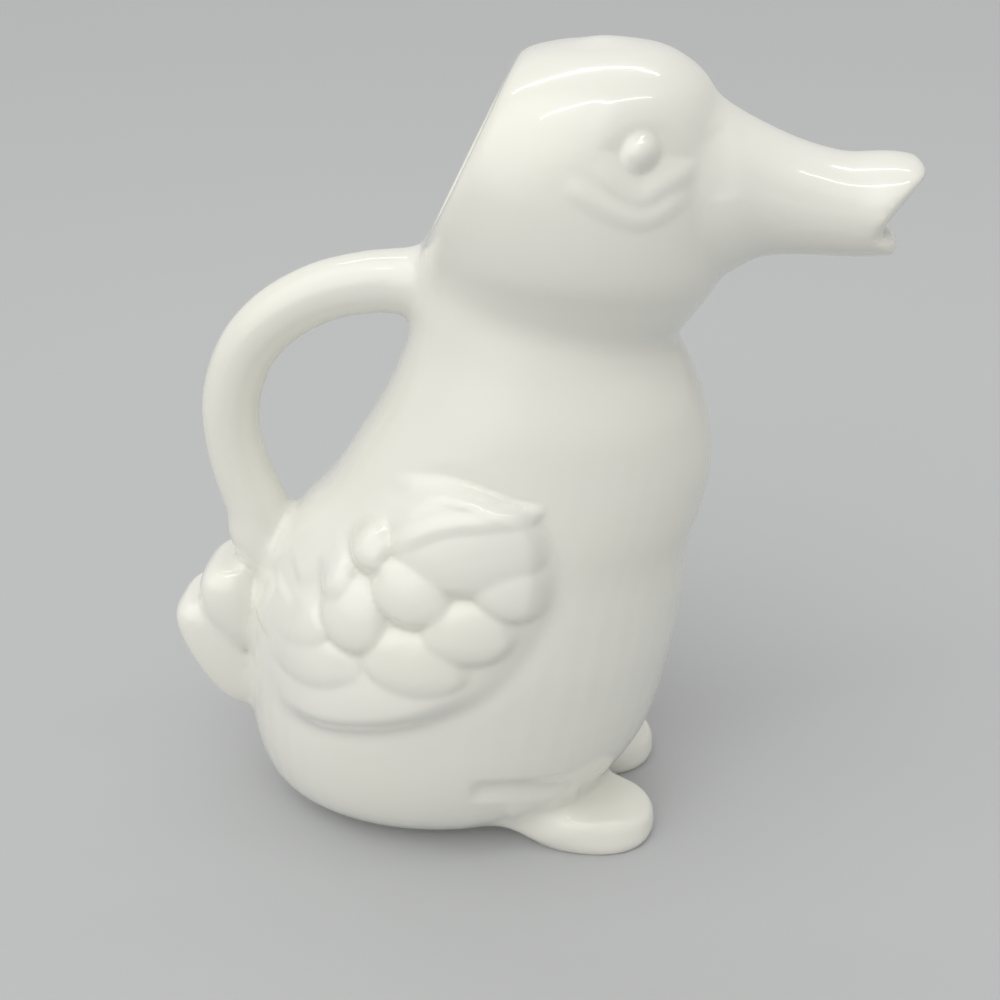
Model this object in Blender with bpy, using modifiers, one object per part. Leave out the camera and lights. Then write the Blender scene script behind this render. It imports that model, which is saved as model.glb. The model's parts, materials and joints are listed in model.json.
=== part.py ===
"""Duck creamer: a small glazed jug in the shape of a sitting duck, built from its clay sections.

+X points to the beak, +Y to the duck's left, +Z up, and the foot stands on Z = 0. Lengths are metres.
"""

import math
from collections import namedtuple

import bmesh
import bpy
from mathutils import Matrix, Vector

# Shells
BODY_LENGTH = 0.084
BODY_WIDTH = 0.056
BODY_HEIGHT = 0.100
HEAD_LENGTH = 0.053
HEAD_WIDTH = 0.044
HEAD_HEIGHT = 0.0406
WALL = 0.0035
LUTE_GAP = 0.0003
FOOT_RIM_WIDTH = 0.004
FOOT_RECESS = 0.0012

# Spout
BEAK_LENGTH = 0.028
BEAK_DEPTH = 0.025
BEAK_WIDTH = 0.020
BEAK_WALL = 0.0026
NOTCH_RADIUS = 0.0034

# Handle
HANDLE_THICKNESS = 0.0101
HANDLE_REACH = 0.0350
HANDLE_SINK = 0.007

# Relief
WING_LENGTH = 0.055
WING_HEIGHT = 0.051
WING_RISE = 0.0020
FEATHER_RISE = 0.0034
TAIL_THICKNESS = 0.013
UPPER_TAIL_LENGTH = 0.022
UPPER_TAIL_WIDTH = 0.020
LOWER_TAIL_LENGTH = 0.0235
LOWER_TAIL_WIDTH = 0.024
FOOT_LENGTH = 0.031
FOOT_WIDTH = 0.0165
FOOT_HEIGHT = 0.0085
FOOT_SPLAY = 8.0
EYE_DIAMETER = 0.0060
EYE_RISE = 0.0018

# Mesh fineness
RING_POINTS = 28
RING_STEPS = 2
BALL_SEGMENTS = 16
BALL_RINGS = 10
CURVE_STEPS = 3
WELD_DISTANCE = 0.00001

Ring = namedtuple("Ring", "front_x front_z back_x back_z half_width")

# Body rings from the foot up: percent of body length, body height and half body width
BODY_RINGS = (
    Ring(9.0, 0.0, -44.6, 0.0, 50.0),
    Ring(16.0, 2.5, -51.8, 2.5, 68.0),
    Ring(24.5, 9.0, -56.5, 9.0, 86.0),
    Ring(32.0, 20.0, -58.3, 21.0, 96.5),
    Ring(36.3, 37.0, -56.5, 39.0, 100.0),
    Ring(37.5, 48.0, -52.4, 50.0, 97.5),
    Ring(38.1, 57.5, -45.2, 60.0, 92.0),
    Ring(40.5, 66.0, -37.5, 67.0, 87.0),
    Ring(41.4, 74.6, -30.7, 75.5, 81.5),
    Ring(39.5, 83.0, -24.3, 84.5, 76.0),
    Ring(36.0, 90.0, -19.6, 94.5, 67.5),
    Ring(32.7, 95.2, -17.5, 105.0, 60.0),
)
RUMP_RING_INDEX = 5
TAIL_RING_INDEX = 3

# Head rings above the neck, from the neck's centre: percent of head length, height and half width
HEAD_RINGS = (
    Ring(49.4, 5.7, -38.9, 18.7, 87.0),
    Ring(53.2, 17.4, -39.4, 28.4, 96.5),
    Ring(53.8, 34.5, -41.3, 43.0, 100.0),
    Ring(52.6, 51.6, -41.3, 58.9, 98.0),
    Ring(50.5, 69.5, -35.7, 74.0, 90.0),
    Ring(45.2, 86.0, -24.3, 86.5, 73.0),
    Ring(34.5, 96.5, -9.2, 95.5, 45.0),
    Ring(22.5, 100.0, 4.9, 99.0, 18.0),
)
FACE_RING_INDEX = 2
RIM_TOP = (-10.4, 93.0)
RIM_BOTTOM = (-37.7, 21.6)
EYE_PLACE = (25.5, 66.5)

# Beak rings from the face, top point first: percent of beak length, root depth and half beak width
BEAK_RINGS = (
    Ring(-23.0, 84.0, -21.0, -44.0, 140.0),
    Ring(-6.0, 71.0, 2.0, -32.0, 125.0),
    Ring(11.0, 60.5, 16.0, -23.0, 108.0),
    Ring(35.0, 49.0, 36.0, -20.5, 100.0),
    Ring(60.0, 42.0, 59.0, -20.5, 100.0),
    Ring(81.0, 43.0, 70.0, -20.0, 103.0),
    Ring(94.0, 40.0, 78.0, -18.0, 99.0),
    Ring(99.0, 33.0, 82.0, -14.0, 88.0),
)
BORE_RING_COUNT = 4
NOTCH_PLACE = (93.0, 12.5)

# Handle path between its roots: percent of the reach, percent of the drop, thickness ratio
HANDLE_PATH = (
    (0.0, 0.0, 1.22),
    (14.0, -0.5, 1.08),
    (30.0, 0.7, 1.02),
    (51.0, 4.7, 1.0),
    (73.0, 14.0, 1.0),
    (89.0, 27.0, 1.0),
    (98.0, 44.0, 1.0),
    (99.0, 59.0, 1.0),
    (96.0, 73.0, 1.03),
    (90.0, 87.0, 1.12),
)
HANDLE_ROOT_DROP = 0.0069
HANDLE_FOOT_LIFT = 0.003
HANDLE_FOOT_FLARE = 1.26

# Wing: its centre in percent of the body, its outline and its feathers in percent of the wing
WING_CENTRE = (-20.2, 51.0)
WING_OUTLINE = (
    (50, 13), (49, 28), (40, 43), (17, 50), (-5, 42), (-22, 23), (-34, 7), (-46, -12),
    (-50, -34), (-43, -47), (-30, -48), (-8, -43), (12, -35), (32, -21), (46, 0),
)
Feather = namedtuple("Feather", "x z length width turn")
FEATHERS = (
    Feather(30, 27, 40, 42, 20),
    Feather(16, 32, 54, 40, 8),
    Feather(-6, 25, 22, 22, -35),
    Feather(6, 11, 31, 26, -10),
    Feather(30, 11, 26, 20, -5),
    Feather(21, 0, 38, 24, 5),
    Feather(9, -13, 41, 26, 0),
    Feather(-13, 0, 25, 28, -20),
    Feather(-17, 15, 15, 26, 15),
    Feather(-25, -22, 42, 18, 10),
    Feather(-33, -10, 26, 18, 15),
    Feather(-20, -36, 58, 19, 6),
)

# Tail lobes from the tail ring's rear point and their lean backwards in degrees
UPPER_TAIL_PLACE = (-0.001, 0.0185)
UPPER_TAIL_LEAN = 12.0
LOWER_TAIL_PLACE = (-0.0054, 0.0070)
LOWER_TAIL_LEAN = 23.5

# Foot centres: percent of body length and half body width
FOOT_PLACE = (15.5, 43.0)

# Glaze
GLAZE_COLOUR = (0.80, 0.80, 0.77, 1.0)
GLAZE_ROUGHNESS = 0.12

PART_NAME = "duck_creamer"
RIGHT = -1.0
LEFT = 1.0


def clear_scene():
    """Removes every object that the scene starts with."""
    for thing in list(bpy.data.objects):
        bpy.data.objects.remove(thing, do_unlink=True)


def new_collection(name):
    """A collection linked to the scene."""
    collection = bpy.data.collections.new(name)
    bpy.context.scene.collection.children.link(collection)
    return collection


def glaze(name):
    """White glossy glaze for one piece."""
    material = bpy.data.materials.new(name + "_glaze")
    material.use_nodes = True
    shader = material.node_tree.nodes["Principled BSDF"]
    shader.inputs["Base Color"].default_value = GLAZE_COLOUR
    shader.inputs["Roughness"].default_value = GLAZE_ROUGHNESS
    shader.inputs["Metallic"].default_value = 0.0
    return material


def add_object(name, mesh, collection):
    """Links a mesh to the scene as an object, shaded smooth."""
    thing = bpy.data.objects.new(name, mesh)
    collection.objects.link(thing)
    mesh.shade_smooth()
    return thing


def add_part(name, mesh):
    """One piece of the jug, with a glaze of its own."""
    mesh.materials.clear()
    mesh.materials.append(glaze(name))
    return add_object(name, mesh, parts)


def add_cutter(name, mesh):
    """A helper solid that only trims pieces."""
    cutter = add_object(name, mesh, cutters)
    cutter.hide_render = True
    cutter.display_type = "WIRE"
    return cutter


def combine(target, other, operation):
    """Adds a Boolean modifier."""
    modifier = target.modifiers.new(operation.lower() + "_" + other.name, "BOOLEAN")
    modifier.operation = operation
    modifier.solver = "EXACT"
    modifier.object = other


def smooth_rings(rings, steps):
    """Rings put between the given ones, on Catmull-Rom curves."""
    result = []
    last = len(rings) - 1
    for index in range(last):
        before, start, end, after = (rings[min(max(index + k, 0), last)] for k in (-1, 0, 1, 2))
        for step in range(steps):
            t = step / steps
            row = []
            for a, b, c, d in zip(before, start, end, after):
                bend = (c - a) * t + (2 * a - 5 * b + 4 * c - d) * t * t + (3 * b - a - 3 * c + d) * t ** 3
                row.append(b + 0.5 * bend)
            result.append(Ring(*row))
    result.append(rings[last])
    return result


def scaled(rings, origin, length, height, width):
    """Rings given in percent, as metres from an origin."""
    return [
        Ring(
            origin.x + ring.front_x * length / 100,
            origin.z + ring.front_z * height / 100,
            origin.x + ring.back_x * length / 100,
            origin.z + ring.back_z * height / 100,
            ring.half_width * width / 200,
        )
        for ring in rings
    ]


def ring_point(ring, angle):
    """A point of an oval ring; angle 0 is its front."""
    front = Vector((ring.front_x, 0, ring.front_z))
    back = Vector((ring.back_x, 0, ring.back_z))
    point = (front + back) / 2 + (front - back) / 2 * math.cos(angle)
    point.y = ring.half_width * math.sin(angle)
    return point


def loft(name, rings, cap_first, cap_last, swell=0.0):
    """A skin through a row of rings, moved outwards by swell."""
    bm = bmesh.new()
    rows = []
    for ring in rings:
        angles = (2 * math.pi * k / RING_POINTS for k in range(RING_POINTS))
        rows.append([bm.verts.new(ring_point(ring, angle)) for angle in angles])
    for lower, upper in zip(rows, rows[1:]):
        for k in range(RING_POINTS):
            n = (k + 1) % RING_POINTS
            bm.faces.new((lower[k], lower[n], upper[n], upper[k]))
    if cap_first:
        bm.faces.new(list(reversed(rows[0])))
    if cap_last:
        bm.faces.new(rows[-1])
    bmesh.ops.recalc_face_normals(bm, faces=bm.faces)
    bm.normal_update()
    for vert in bm.verts:
        vert.co += vert.normal * swell
    mesh = bpy.data.meshes.new(name)
    bm.to_mesh(mesh)
    bm.free()
    return mesh


def thicken(shell, wall):
    """Gives a skin its wall, inwards."""
    modifier = shell.modifiers.new("wall", "SOLIDIFY")
    modifier.thickness = wall
    modifier.offset = -1.0
    modifier.use_even_offset = True


def ball_mesh(name, length, width, height):
    """A ball squashed to its three diameters."""
    bm = bmesh.new()
    bmesh.ops.create_uvsphere(bm, u_segments=BALL_SEGMENTS, v_segments=BALL_RINGS, radius=0.5)
    bmesh.ops.scale(bm, vec=(length, width, height), verts=bm.verts)
    mesh = bpy.data.meshes.new(name)
    bm.to_mesh(mesh)
    bm.free()
    return mesh


def box_mesh(name, size):
    """A cube of the given edge length."""
    bm = bmesh.new()
    bmesh.ops.create_cube(bm, size=size)
    mesh = bpy.data.meshes.new(name)
    bm.to_mesh(mesh)
    bm.free()
    return mesh


def half_space(name, point, normal):
    """A big box that covers everything on the normal's side of a plane."""
    size = 4 * (BODY_HEIGHT + HEAD_HEIGHT)
    cutter = add_cutter(name, box_mesh(name, size))
    turn = normal.to_track_quat("Z", "Y").to_matrix().to_4x4()
    cutter.matrix_world = Matrix.Translation(point + normal * size / 2) @ turn
    return cutter


def mesh_from_curve(name, curve):
    """The mesh of a curve, with its caps welded on."""
    holder = bpy.data.objects.new(name + "_curve", curve)
    cutters.objects.link(holder)
    bpy.context.view_layer.update()
    depsgraph = bpy.context.evaluated_depsgraph_get()
    mesh = bpy.data.meshes.new_from_object(holder.evaluated_get(depsgraph))
    mesh.name = name
    bpy.data.objects.remove(holder)
    bm = bmesh.new()
    bm.from_mesh(mesh)
    bmesh.ops.remove_doubles(bm, verts=bm.verts, dist=WELD_DISTANCE)
    bmesh.ops.recalc_face_normals(bm, faces=bm.faces)
    bm.to_mesh(mesh)
    bm.free()
    return mesh


def surface_frame(surface, x, z, side):
    """Where a line across the duck meets a skin, with its Z axis along the skin's normal."""
    far = side * (BODY_WIDTH + HEAD_WIDTH)
    hit, point, normal, _ = surface.ray_cast(Vector((x, far, z)), Vector((0, -side, 0)))
    if not hit:
        raise ValueError("the skin has no place for a piece at x %.4f, z %.4f" % (x, z))
    forward = (Vector((1, 0, 0)) - normal * normal.x).normalized()
    frame = Matrix((forward, normal.cross(forward), normal)).transposed().to_4x4()
    return Matrix.Translation(point) @ frame


def body_rings():
    """The body's rings in metres, foot first."""
    return scaled(BODY_RINGS, Vector((0, 0, 0)), BODY_LENGTH, BODY_HEIGHT, BODY_WIDTH)


def neck_centre():
    """Middle of the seam between body and head."""
    ring = body_rings()[-1]
    return Vector(((ring.front_x + ring.back_x) / 2, 0, (ring.front_z + ring.back_z) / 2))


def neck_normal():
    """Direction up the neck, square to the seam."""
    ring = body_rings()[-1]
    chord = Vector((ring.front_x - ring.back_x, 0, ring.front_z - ring.back_z))
    return Vector((-chord.z, 0, chord.x)).normalized()


def moved(ring, shift):
    """A ring carried along by a vector."""
    return Ring(
        ring.front_x + shift.x, ring.front_z + shift.z, ring.back_x + shift.x, ring.back_z + shift.z,
        ring.half_width,
    )


def head_rings():
    """The head's rings in metres, starting with the body's neck ring."""
    rings = scaled(HEAD_RINGS, neck_centre(), HEAD_LENGTH, HEAD_HEIGHT, HEAD_WIDTH)
    return [body_rings()[-1]] + rings


def head_place(place):
    """A point of the head's middle plane, given in percent from the neck's centre."""
    return neck_centre() + Vector((place[0] * HEAD_LENGTH / 100, 0, place[1] * HEAD_HEIGHT / 100))


def face_point():
    """Front of the face, which the beak is measured from."""
    ring = head_rings()[1 + FACE_RING_INDEX]
    return Vector((ring.front_x, 0, ring.front_z))


def beak_rings():
    """The beak's rings in metres, root first; a beak ring's front is its top."""
    return scaled(BEAK_RINGS, face_point(), BEAK_LENGTH, BEAK_DEPTH, BEAK_WIDTH)


def add_skins():
    """Closed skins of body and head, one clearance larger, that trim what is luted onto them."""
    collar = moved(body_rings()[-1], neck_normal() * LUTE_GAP)
    body = loft("body_skin", smooth_rings(body_rings(), RING_STEPS) + [collar], True, True, LUTE_GAP)
    head = loft("head_skin", smooth_rings(head_rings(), RING_STEPS), True, True, LUTE_GAP)
    return add_cutter("body_skin", body), add_cutter("head_skin", head)


def add_body():
    """Hollow body, open at the neck, with a recess inside its foot rim."""
    rings = smooth_rings(body_rings(), RING_STEPS)
    collar = moved(rings[-1], neck_normal() * WALL)
    body = add_part("body_shell", loft("body_shell", rings + [collar], True, False))
    thicken(body, WALL)
    seam = neck_centre() - neck_normal() * LUTE_GAP / 2
    combine(body, half_space("body_seam", seam, neck_normal()), "DIFFERENCE")

    base = rings[0]
    inner = Ring(
        base.front_x - FOOT_RIM_WIDTH, -FOOT_RECESS, base.back_x + FOOT_RIM_WIDTH, -FOOT_RECESS,
        base.half_width - FOOT_RIM_WIDTH,
    )
    roof = moved(inner, Vector((0, 0, 2 * FOOT_RECESS)))
    combine(body, add_cutter("foot_recess", loft("foot_recess", [inner, roof], True, True)), "DIFFERENCE")
    return body


def add_head():
    """Hollow head, open at the neck, across its slanted back and into the beak."""
    rings = smooth_rings(head_rings(), RING_STEPS)
    collar = moved(rings[0], neck_normal() * -WALL)
    head = add_part("head_shell", loft("head_shell", [collar] + rings, False, True))
    thicken(head, WALL)
    seam = neck_centre() + neck_normal() * LUTE_GAP / 2
    combine(head, half_space("head_seam", seam, -neck_normal()), "DIFFERENCE")

    top = head_place(RIM_TOP)
    bottom = head_place(RIM_BOTTOM)
    slope = top - bottom
    outward = Vector((-slope.z, 0, slope.x)).normalized()
    combine(head, half_space("filling_mouth", bottom, outward), "DIFFERENCE")

    throat = moved(beak_rings()[0], Vector((-4 * WALL, 0, 0)))
    bore = [throat] + smooth_rings(beak_rings()[:BORE_RING_COUNT], RING_STEPS)
    channel = loft("beak_channel", bore, True, True, -BEAK_WALL)
    combine(head, add_cutter("beak_channel", channel), "DIFFERENCE")
    return head


def add_beak(head_skin):
    """Hollow beak with its notched mouth."""
    beak = add_part("beak_spout", loft("beak_spout", smooth_rings(beak_rings(), RING_STEPS), False, False))
    thicken(beak, BEAK_WALL)
    combine(beak, head_skin, "DIFFERENCE")

    bm = bmesh.new()
    bmesh.ops.create_cone(
        bm, cap_ends=True, segments=BALL_SEGMENTS, radius1=NOTCH_RADIUS, radius2=NOTCH_RADIUS,
        depth=2 * BEAK_WIDTH,
    )
    mesh = bpy.data.meshes.new("mouth_notch")
    bm.to_mesh(mesh)
    bm.free()
    notch = add_cutter("mouth_notch", mesh)
    place = Vector((NOTCH_PLACE[0] * BEAK_LENGTH / 100, 0, NOTCH_PLACE[1] * BEAK_DEPTH / 100))
    notch.location = face_point() + place
    notch.rotation_euler = (math.pi / 2, 0, 0)
    combine(beak, notch, "DIFFERENCE")
    return beak


def handle_points():
    """The handle's path with its thickness ratios, from inside the neck to inside the rump."""
    root = head_place(RIM_BOTTOM) - Vector((0, 0, HANDLE_ROOT_DROP))
    ring = body_rings()[RUMP_RING_INDEX]
    foot = Vector((ring.back_x, 0, ring.back_z + HANDLE_FOOT_LIFT))
    first = HANDLE_PATH[0]
    points = [(root + Vector((HANDLE_SINK, 0, 0)), first[2])]
    for back, down, ratio in HANDLE_PATH:
        x = root.x - back * HANDLE_REACH / 100
        z = root.z + (foot.z - root.z) * down / 100
        points.append((Vector((x, 0, z)), ratio))
    points.append((foot, HANDLE_FOOT_FLARE))
    points.append((foot + Vector((HANDLE_SINK, 0, -HANDLE_SINK)), HANDLE_FOOT_FLARE))
    return points


def handle_mesh(name, swell):
    """The handle as a round tube along its path."""
    curve = bpy.data.curves.new(name, "CURVE")
    curve.dimensions = "3D"
    curve.bevel_depth = HANDLE_THICKNESS / 2
    curve.bevel_resolution = CURVE_STEPS
    curve.resolution_u = CURVE_STEPS
    curve.use_fill_caps = True
    spline = curve.splines.new("BEZIER")
    points = handle_points()
    spline.bezier_points.add(len(points) - 1)
    for knot, (place, ratio) in zip(spline.bezier_points, points):
        knot.co = place
        knot.radius = ratio + 2 * swell / HANDLE_THICKNESS
        knot.handle_left_type = "AUTO"
        knot.handle_right_type = "AUTO"
    return mesh_from_curve(name, curve)


def add_handle(body_skin, head_skin):
    """Loop handle, luted under the rim and on the rump."""
    handle = add_part("handle", handle_mesh("handle", 0.0))
    combine(handle, body_skin, "DIFFERENCE")
    combine(handle, head_skin, "DIFFERENCE")
    return handle


def wing_outline_mesh(name, centre, side):
    """A leaf-shaped block through one flank."""
    curve = bpy.data.curves.new(name, "CURVE")
    curve.dimensions = "2D"
    curve.fill_mode = "BOTH"
    curve.extrude = BODY_WIDTH / 2
    curve.resolution_u = CURVE_STEPS
    spline = curve.splines.new("BEZIER")
    spline.use_cyclic_u = True
    spline.bezier_points.add(len(WING_OUTLINE) - 1)
    for knot, (x, z) in zip(spline.bezier_points, WING_OUTLINE):
        knot.co = (x * WING_LENGTH / 100, z * WING_HEIGHT / 100, 0)
        knot.handle_left_type = "AUTO"
        knot.handle_right_type = "AUTO"
    mesh = mesh_from_curve(name, curve)
    mesh.transform(Matrix.Rotation(math.pi / 2, 4, "X"))
    mesh.transform(Matrix.Translation(centre + Vector((0, side * BODY_WIDTH / 2, 0))))
    return mesh


def add_wing(name, side, body_skin, wing_skin):
    """Relief pad with its overlapping feathers."""
    centre = Vector((WING_CENTRE[0] * BODY_LENGTH / 100, 0, WING_CENTRE[1] * BODY_HEIGHT / 100))
    wing = add_part(name, wing_outline_mesh(name, centre, side))
    combine(wing, wing_skin, "INTERSECT")
    for number, feather in enumerate(FEATHERS, 1):
        label = "%s_feather_%d" % (name, number)
        length = feather.length * WING_LENGTH / 100
        width = feather.width * WING_HEIGHT / 100
        lump = add_cutter(label, ball_mesh(label, length, width, 2 * FEATHER_RISE))
        x = centre.x + feather.x * WING_LENGTH / 100
        z = centre.z + feather.z * WING_HEIGHT / 100
        turn = Matrix.Rotation(-side * math.radians(feather.turn), 4, "Z")
        lump.matrix_world = surface_frame(body_skin, x, z, side) @ turn
        combine(wing, lump, "UNION")
    combine(wing, body_skin, "DIFFERENCE")
    return wing


def tail_matrix(place, lean):
    """Place and lean of a tail lobe behind the rump."""
    ring = body_rings()[TAIL_RING_INDEX]
    centre = Vector((ring.back_x + place[0], 0, ring.back_z + place[1]))
    return Matrix.Translation(centre) @ Matrix.Rotation(-math.radians(lean), 4, "Y")


def add_tail(body_skin):
    """Two upturned lobes, the lower one luted behind the upper."""
    upper = add_part(
        "upper_tail_feather",
        ball_mesh("upper_tail_feather", TAIL_THICKNESS, UPPER_TAIL_WIDTH, UPPER_TAIL_LENGTH),
    )
    upper.matrix_world = tail_matrix(UPPER_TAIL_PLACE, UPPER_TAIL_LEAN)
    combine(upper, body_skin, "DIFFERENCE")
    combine(upper, add_cutter("handle_skin", handle_mesh("handle_skin", LUTE_GAP)), "DIFFERENCE")

    lower = add_part(
        "lower_tail_feather",
        ball_mesh("lower_tail_feather", TAIL_THICKNESS, LOWER_TAIL_WIDTH, LOWER_TAIL_LENGTH),
    )
    lower.matrix_world = tail_matrix(LOWER_TAIL_PLACE, LOWER_TAIL_LEAN)
    grown = 2 * LUTE_GAP
    upper_skin = add_cutter(
        "upper_tail_skin",
        ball_mesh(
            "upper_tail_skin", TAIL_THICKNESS + grown, UPPER_TAIL_WIDTH + grown, UPPER_TAIL_LENGTH + grown
        ),
    )
    upper_skin.matrix_world = upper.matrix_world.copy()
    combine(lower, body_skin, "DIFFERENCE")
    combine(lower, upper_skin, "DIFFERENCE")


def add_foot(name, side, body_skin, ground):
    """Flat-soled foot at the front of the base."""
    foot = add_part(name, ball_mesh(name, FOOT_LENGTH, FOOT_WIDTH, 2 * FOOT_HEIGHT))
    foot.location = (
        FOOT_PLACE[0] * BODY_LENGTH / 100,
        side * FOOT_PLACE[1] * BODY_WIDTH / 200,
        0.0,
    )
    foot.rotation_euler = (0, 0, side * math.radians(FOOT_SPLAY))
    combine(foot, ground, "DIFFERENCE")
    combine(foot, body_skin, "DIFFERENCE")


def add_eye(name, side, head_skin):
    """Low dome on the side of the head."""
    eye = add_part(name, ball_mesh(name, EYE_DIAMETER, EYE_DIAMETER, 2 * EYE_RISE))
    place = head_place(EYE_PLACE)
    eye.matrix_world = surface_frame(head_skin, place.x, place.z, side)
    combine(eye, head_skin, "DIFFERENCE")


clear_scene()
parts = new_collection(PART_NAME)
cutters = new_collection("cutters")

skin_of_body, skin_of_head = add_skins()
skin_of_wings = add_cutter(
    "wing_skin", loft("wing_skin", smooth_rings(body_rings(), RING_STEPS), True, True, WING_RISE)
)
bpy.context.view_layer.update()
floor = half_space("ground", Vector((0, 0, 0)), Vector((0, 0, -1)))

add_body()
add_head()
add_beak(skin_of_head)
add_handle(skin_of_body, skin_of_head)
add_wing("right_wing", RIGHT, skin_of_body, skin_of_wings)
add_wing("left_wing", LEFT, skin_of_body, skin_of_wings)
add_tail(skin_of_body)
add_foot("right_foot", RIGHT, skin_of_body, floor)
add_foot("left_foot", LEFT, skin_of_body, floor)
add_eye("right_eye", RIGHT, skin_of_head)
add_eye("left_eye", LEFT, skin_of_head)
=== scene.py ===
"""Duck creamer: the glazed skin of a small jug, modelled over its packed sections, on a plain stage.

+X points to the beak, +Y to the duck's left, +Z up, and the foot stands on Z = 0. Lengths are metres, unless
a heading says otherwise.
"""

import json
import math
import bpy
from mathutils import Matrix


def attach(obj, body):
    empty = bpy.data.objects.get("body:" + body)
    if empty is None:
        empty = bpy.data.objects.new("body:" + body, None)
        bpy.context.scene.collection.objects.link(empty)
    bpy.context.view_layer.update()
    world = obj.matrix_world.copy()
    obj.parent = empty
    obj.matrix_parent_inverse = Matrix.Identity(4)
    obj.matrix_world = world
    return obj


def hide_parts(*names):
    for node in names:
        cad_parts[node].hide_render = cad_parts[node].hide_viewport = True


bl_info = {
    "name": "Duck Creamer",
    "version": (1, 0, 0),
    "blender": (4, 5, 0),
    "location": "View3D > Sidebar > Creamer",
    "description": "Models a glazed duck creamer, section by section, and its stage",
    "category": "Object",
}

from collections import namedtuple

import bpy
import numpy as np
from mathutils import Vector
from mathutils.bvhtree import BVHTree
from mathutils.interpolate import poly_3d_calc

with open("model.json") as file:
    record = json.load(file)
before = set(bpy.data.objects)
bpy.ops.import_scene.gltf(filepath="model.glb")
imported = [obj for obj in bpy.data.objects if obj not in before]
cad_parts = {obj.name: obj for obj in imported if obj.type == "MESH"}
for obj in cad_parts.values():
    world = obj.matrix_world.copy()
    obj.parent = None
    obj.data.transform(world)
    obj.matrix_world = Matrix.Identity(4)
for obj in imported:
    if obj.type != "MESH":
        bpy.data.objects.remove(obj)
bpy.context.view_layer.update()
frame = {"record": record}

GLAZE_SLOT = "glaze"
MM = 0.001
RIGHT = -1.0
LEFT = 1.0
SIDES = (("right", RIGHT), ("left", LEFT))

Ring = namedtuple("Ring", "front_x front_z back_x back_z half_width")

# Body rings from the foot up: percent of body length, body height and half body width
BODY_RINGS = (
    Ring(9.0, 0.0, -44.6, 0.0, 50.0),
    Ring(16.0, 2.5, -51.8, 2.5, 68.0),
    Ring(24.5, 9.0, -56.5, 9.0, 86.0),
    Ring(32.0, 20.0, -58.3, 21.0, 96.5),
    Ring(36.3, 37.0, -56.5, 39.0, 100.0),
    Ring(37.5, 48.0, -52.4, 50.0, 97.5),
    Ring(38.1, 57.5, -45.2, 60.0, 92.0),
    Ring(40.5, 66.0, -37.5, 67.0, 87.0),
    Ring(41.4, 74.6, -30.7, 75.5, 81.5),
    Ring(39.5, 83.0, -24.3, 84.5, 76.0),
    Ring(36.0, 90.0, -19.6, 94.5, 67.5),
    Ring(32.7, 95.2, -17.5, 105.0, 60.0),
)
RUMP_RING = 5

# Head rings above the neck, from the neck's centre: percent of head length, height and half width
HEAD_RINGS = (
    Ring(49.4, 5.7, -38.9, 18.7, 87.0),
    Ring(53.2, 17.4, -39.4, 28.4, 96.5),
    Ring(53.8, 34.5, -41.3, 43.0, 100.0),
    Ring(52.6, 51.6, -41.3, 58.9, 98.0),
    Ring(50.5, 69.5, -35.7, 74.0, 90.0),
    Ring(45.2, 86.0, -24.3, 86.5, 73.0),
    Ring(34.5, 96.5, -9.2, 95.5, 45.0),
    Ring(22.5, 100.0, 4.9, 99.0, 18.0),
    Ring(15.5, 101.0, 12.5, 101.0, 4.0),
)
FACE_RING = 2
RIM_TOP = (-10.4, 93.0)
RIM_BOTTOM = (-37.7, 21.6)
EYE_PLACE = (25.6, 69.5)

# Beak rings from the face, top point first: percent of beak length, root depth and half beak width
BEAK_RINGS = (
    Ring(-23.0, 84.0, -21.0, -44.0, 140.0),
    Ring(-6.0, 71.0, 2.0, -32.0, 125.0),
    Ring(11.0, 60.5, 16.0, -23.0, 108.0),
    Ring(35.0, 49.0, 36.0, -20.5, 100.0),
    Ring(60.0, 42.0, 59.0, -20.5, 100.0),
    Ring(81.0, 43.0, 72.0, -20.5, 103.0),
    Ring(96.0, 41.0, 88.0, -18.5, 100.0),
    Ring(101.5, 35.0, 94.0, -13.0, 86.0),
)

# What the mouth's cut takes away between bill tip and lower lip, as a side view in millimetres
MOUTH_CUT = (
    (65.0, 124.6), (63.2, 122.0), (61.6, 118.8), (60.1, 116.0), (59.1, 114.6), (58.9, 113.9), (59.4, 113.3),
    (60.4, 112.6), (60.6, 111.4), (60.3, 110.0), (59.0, 107.6), (72.0, 107.0), (74.0, 120.0),
)
MOUTH_BOW = 40.0
MOUTH_SLICES = 16

# Handle path between its roots: percent of the reach, percent of the drop, thickness ratio
HANDLE_PATH = (
    (0.0, 0.0, 1.22),
    (14.0, -0.5, 1.08),
    (30.0, 0.7, 1.02),
    (51.0, 4.7, 1.0),
    (73.0, 14.0, 1.0),
    (89.0, 27.0, 1.0),
    (98.0, 44.0, 1.0),
    (99.0, 59.0, 1.0),
    (96.0, 73.0, 1.03),
    (90.0, 87.0, 1.12),
)
HANDLE_FOOT_FLARE = 1.26

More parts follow.
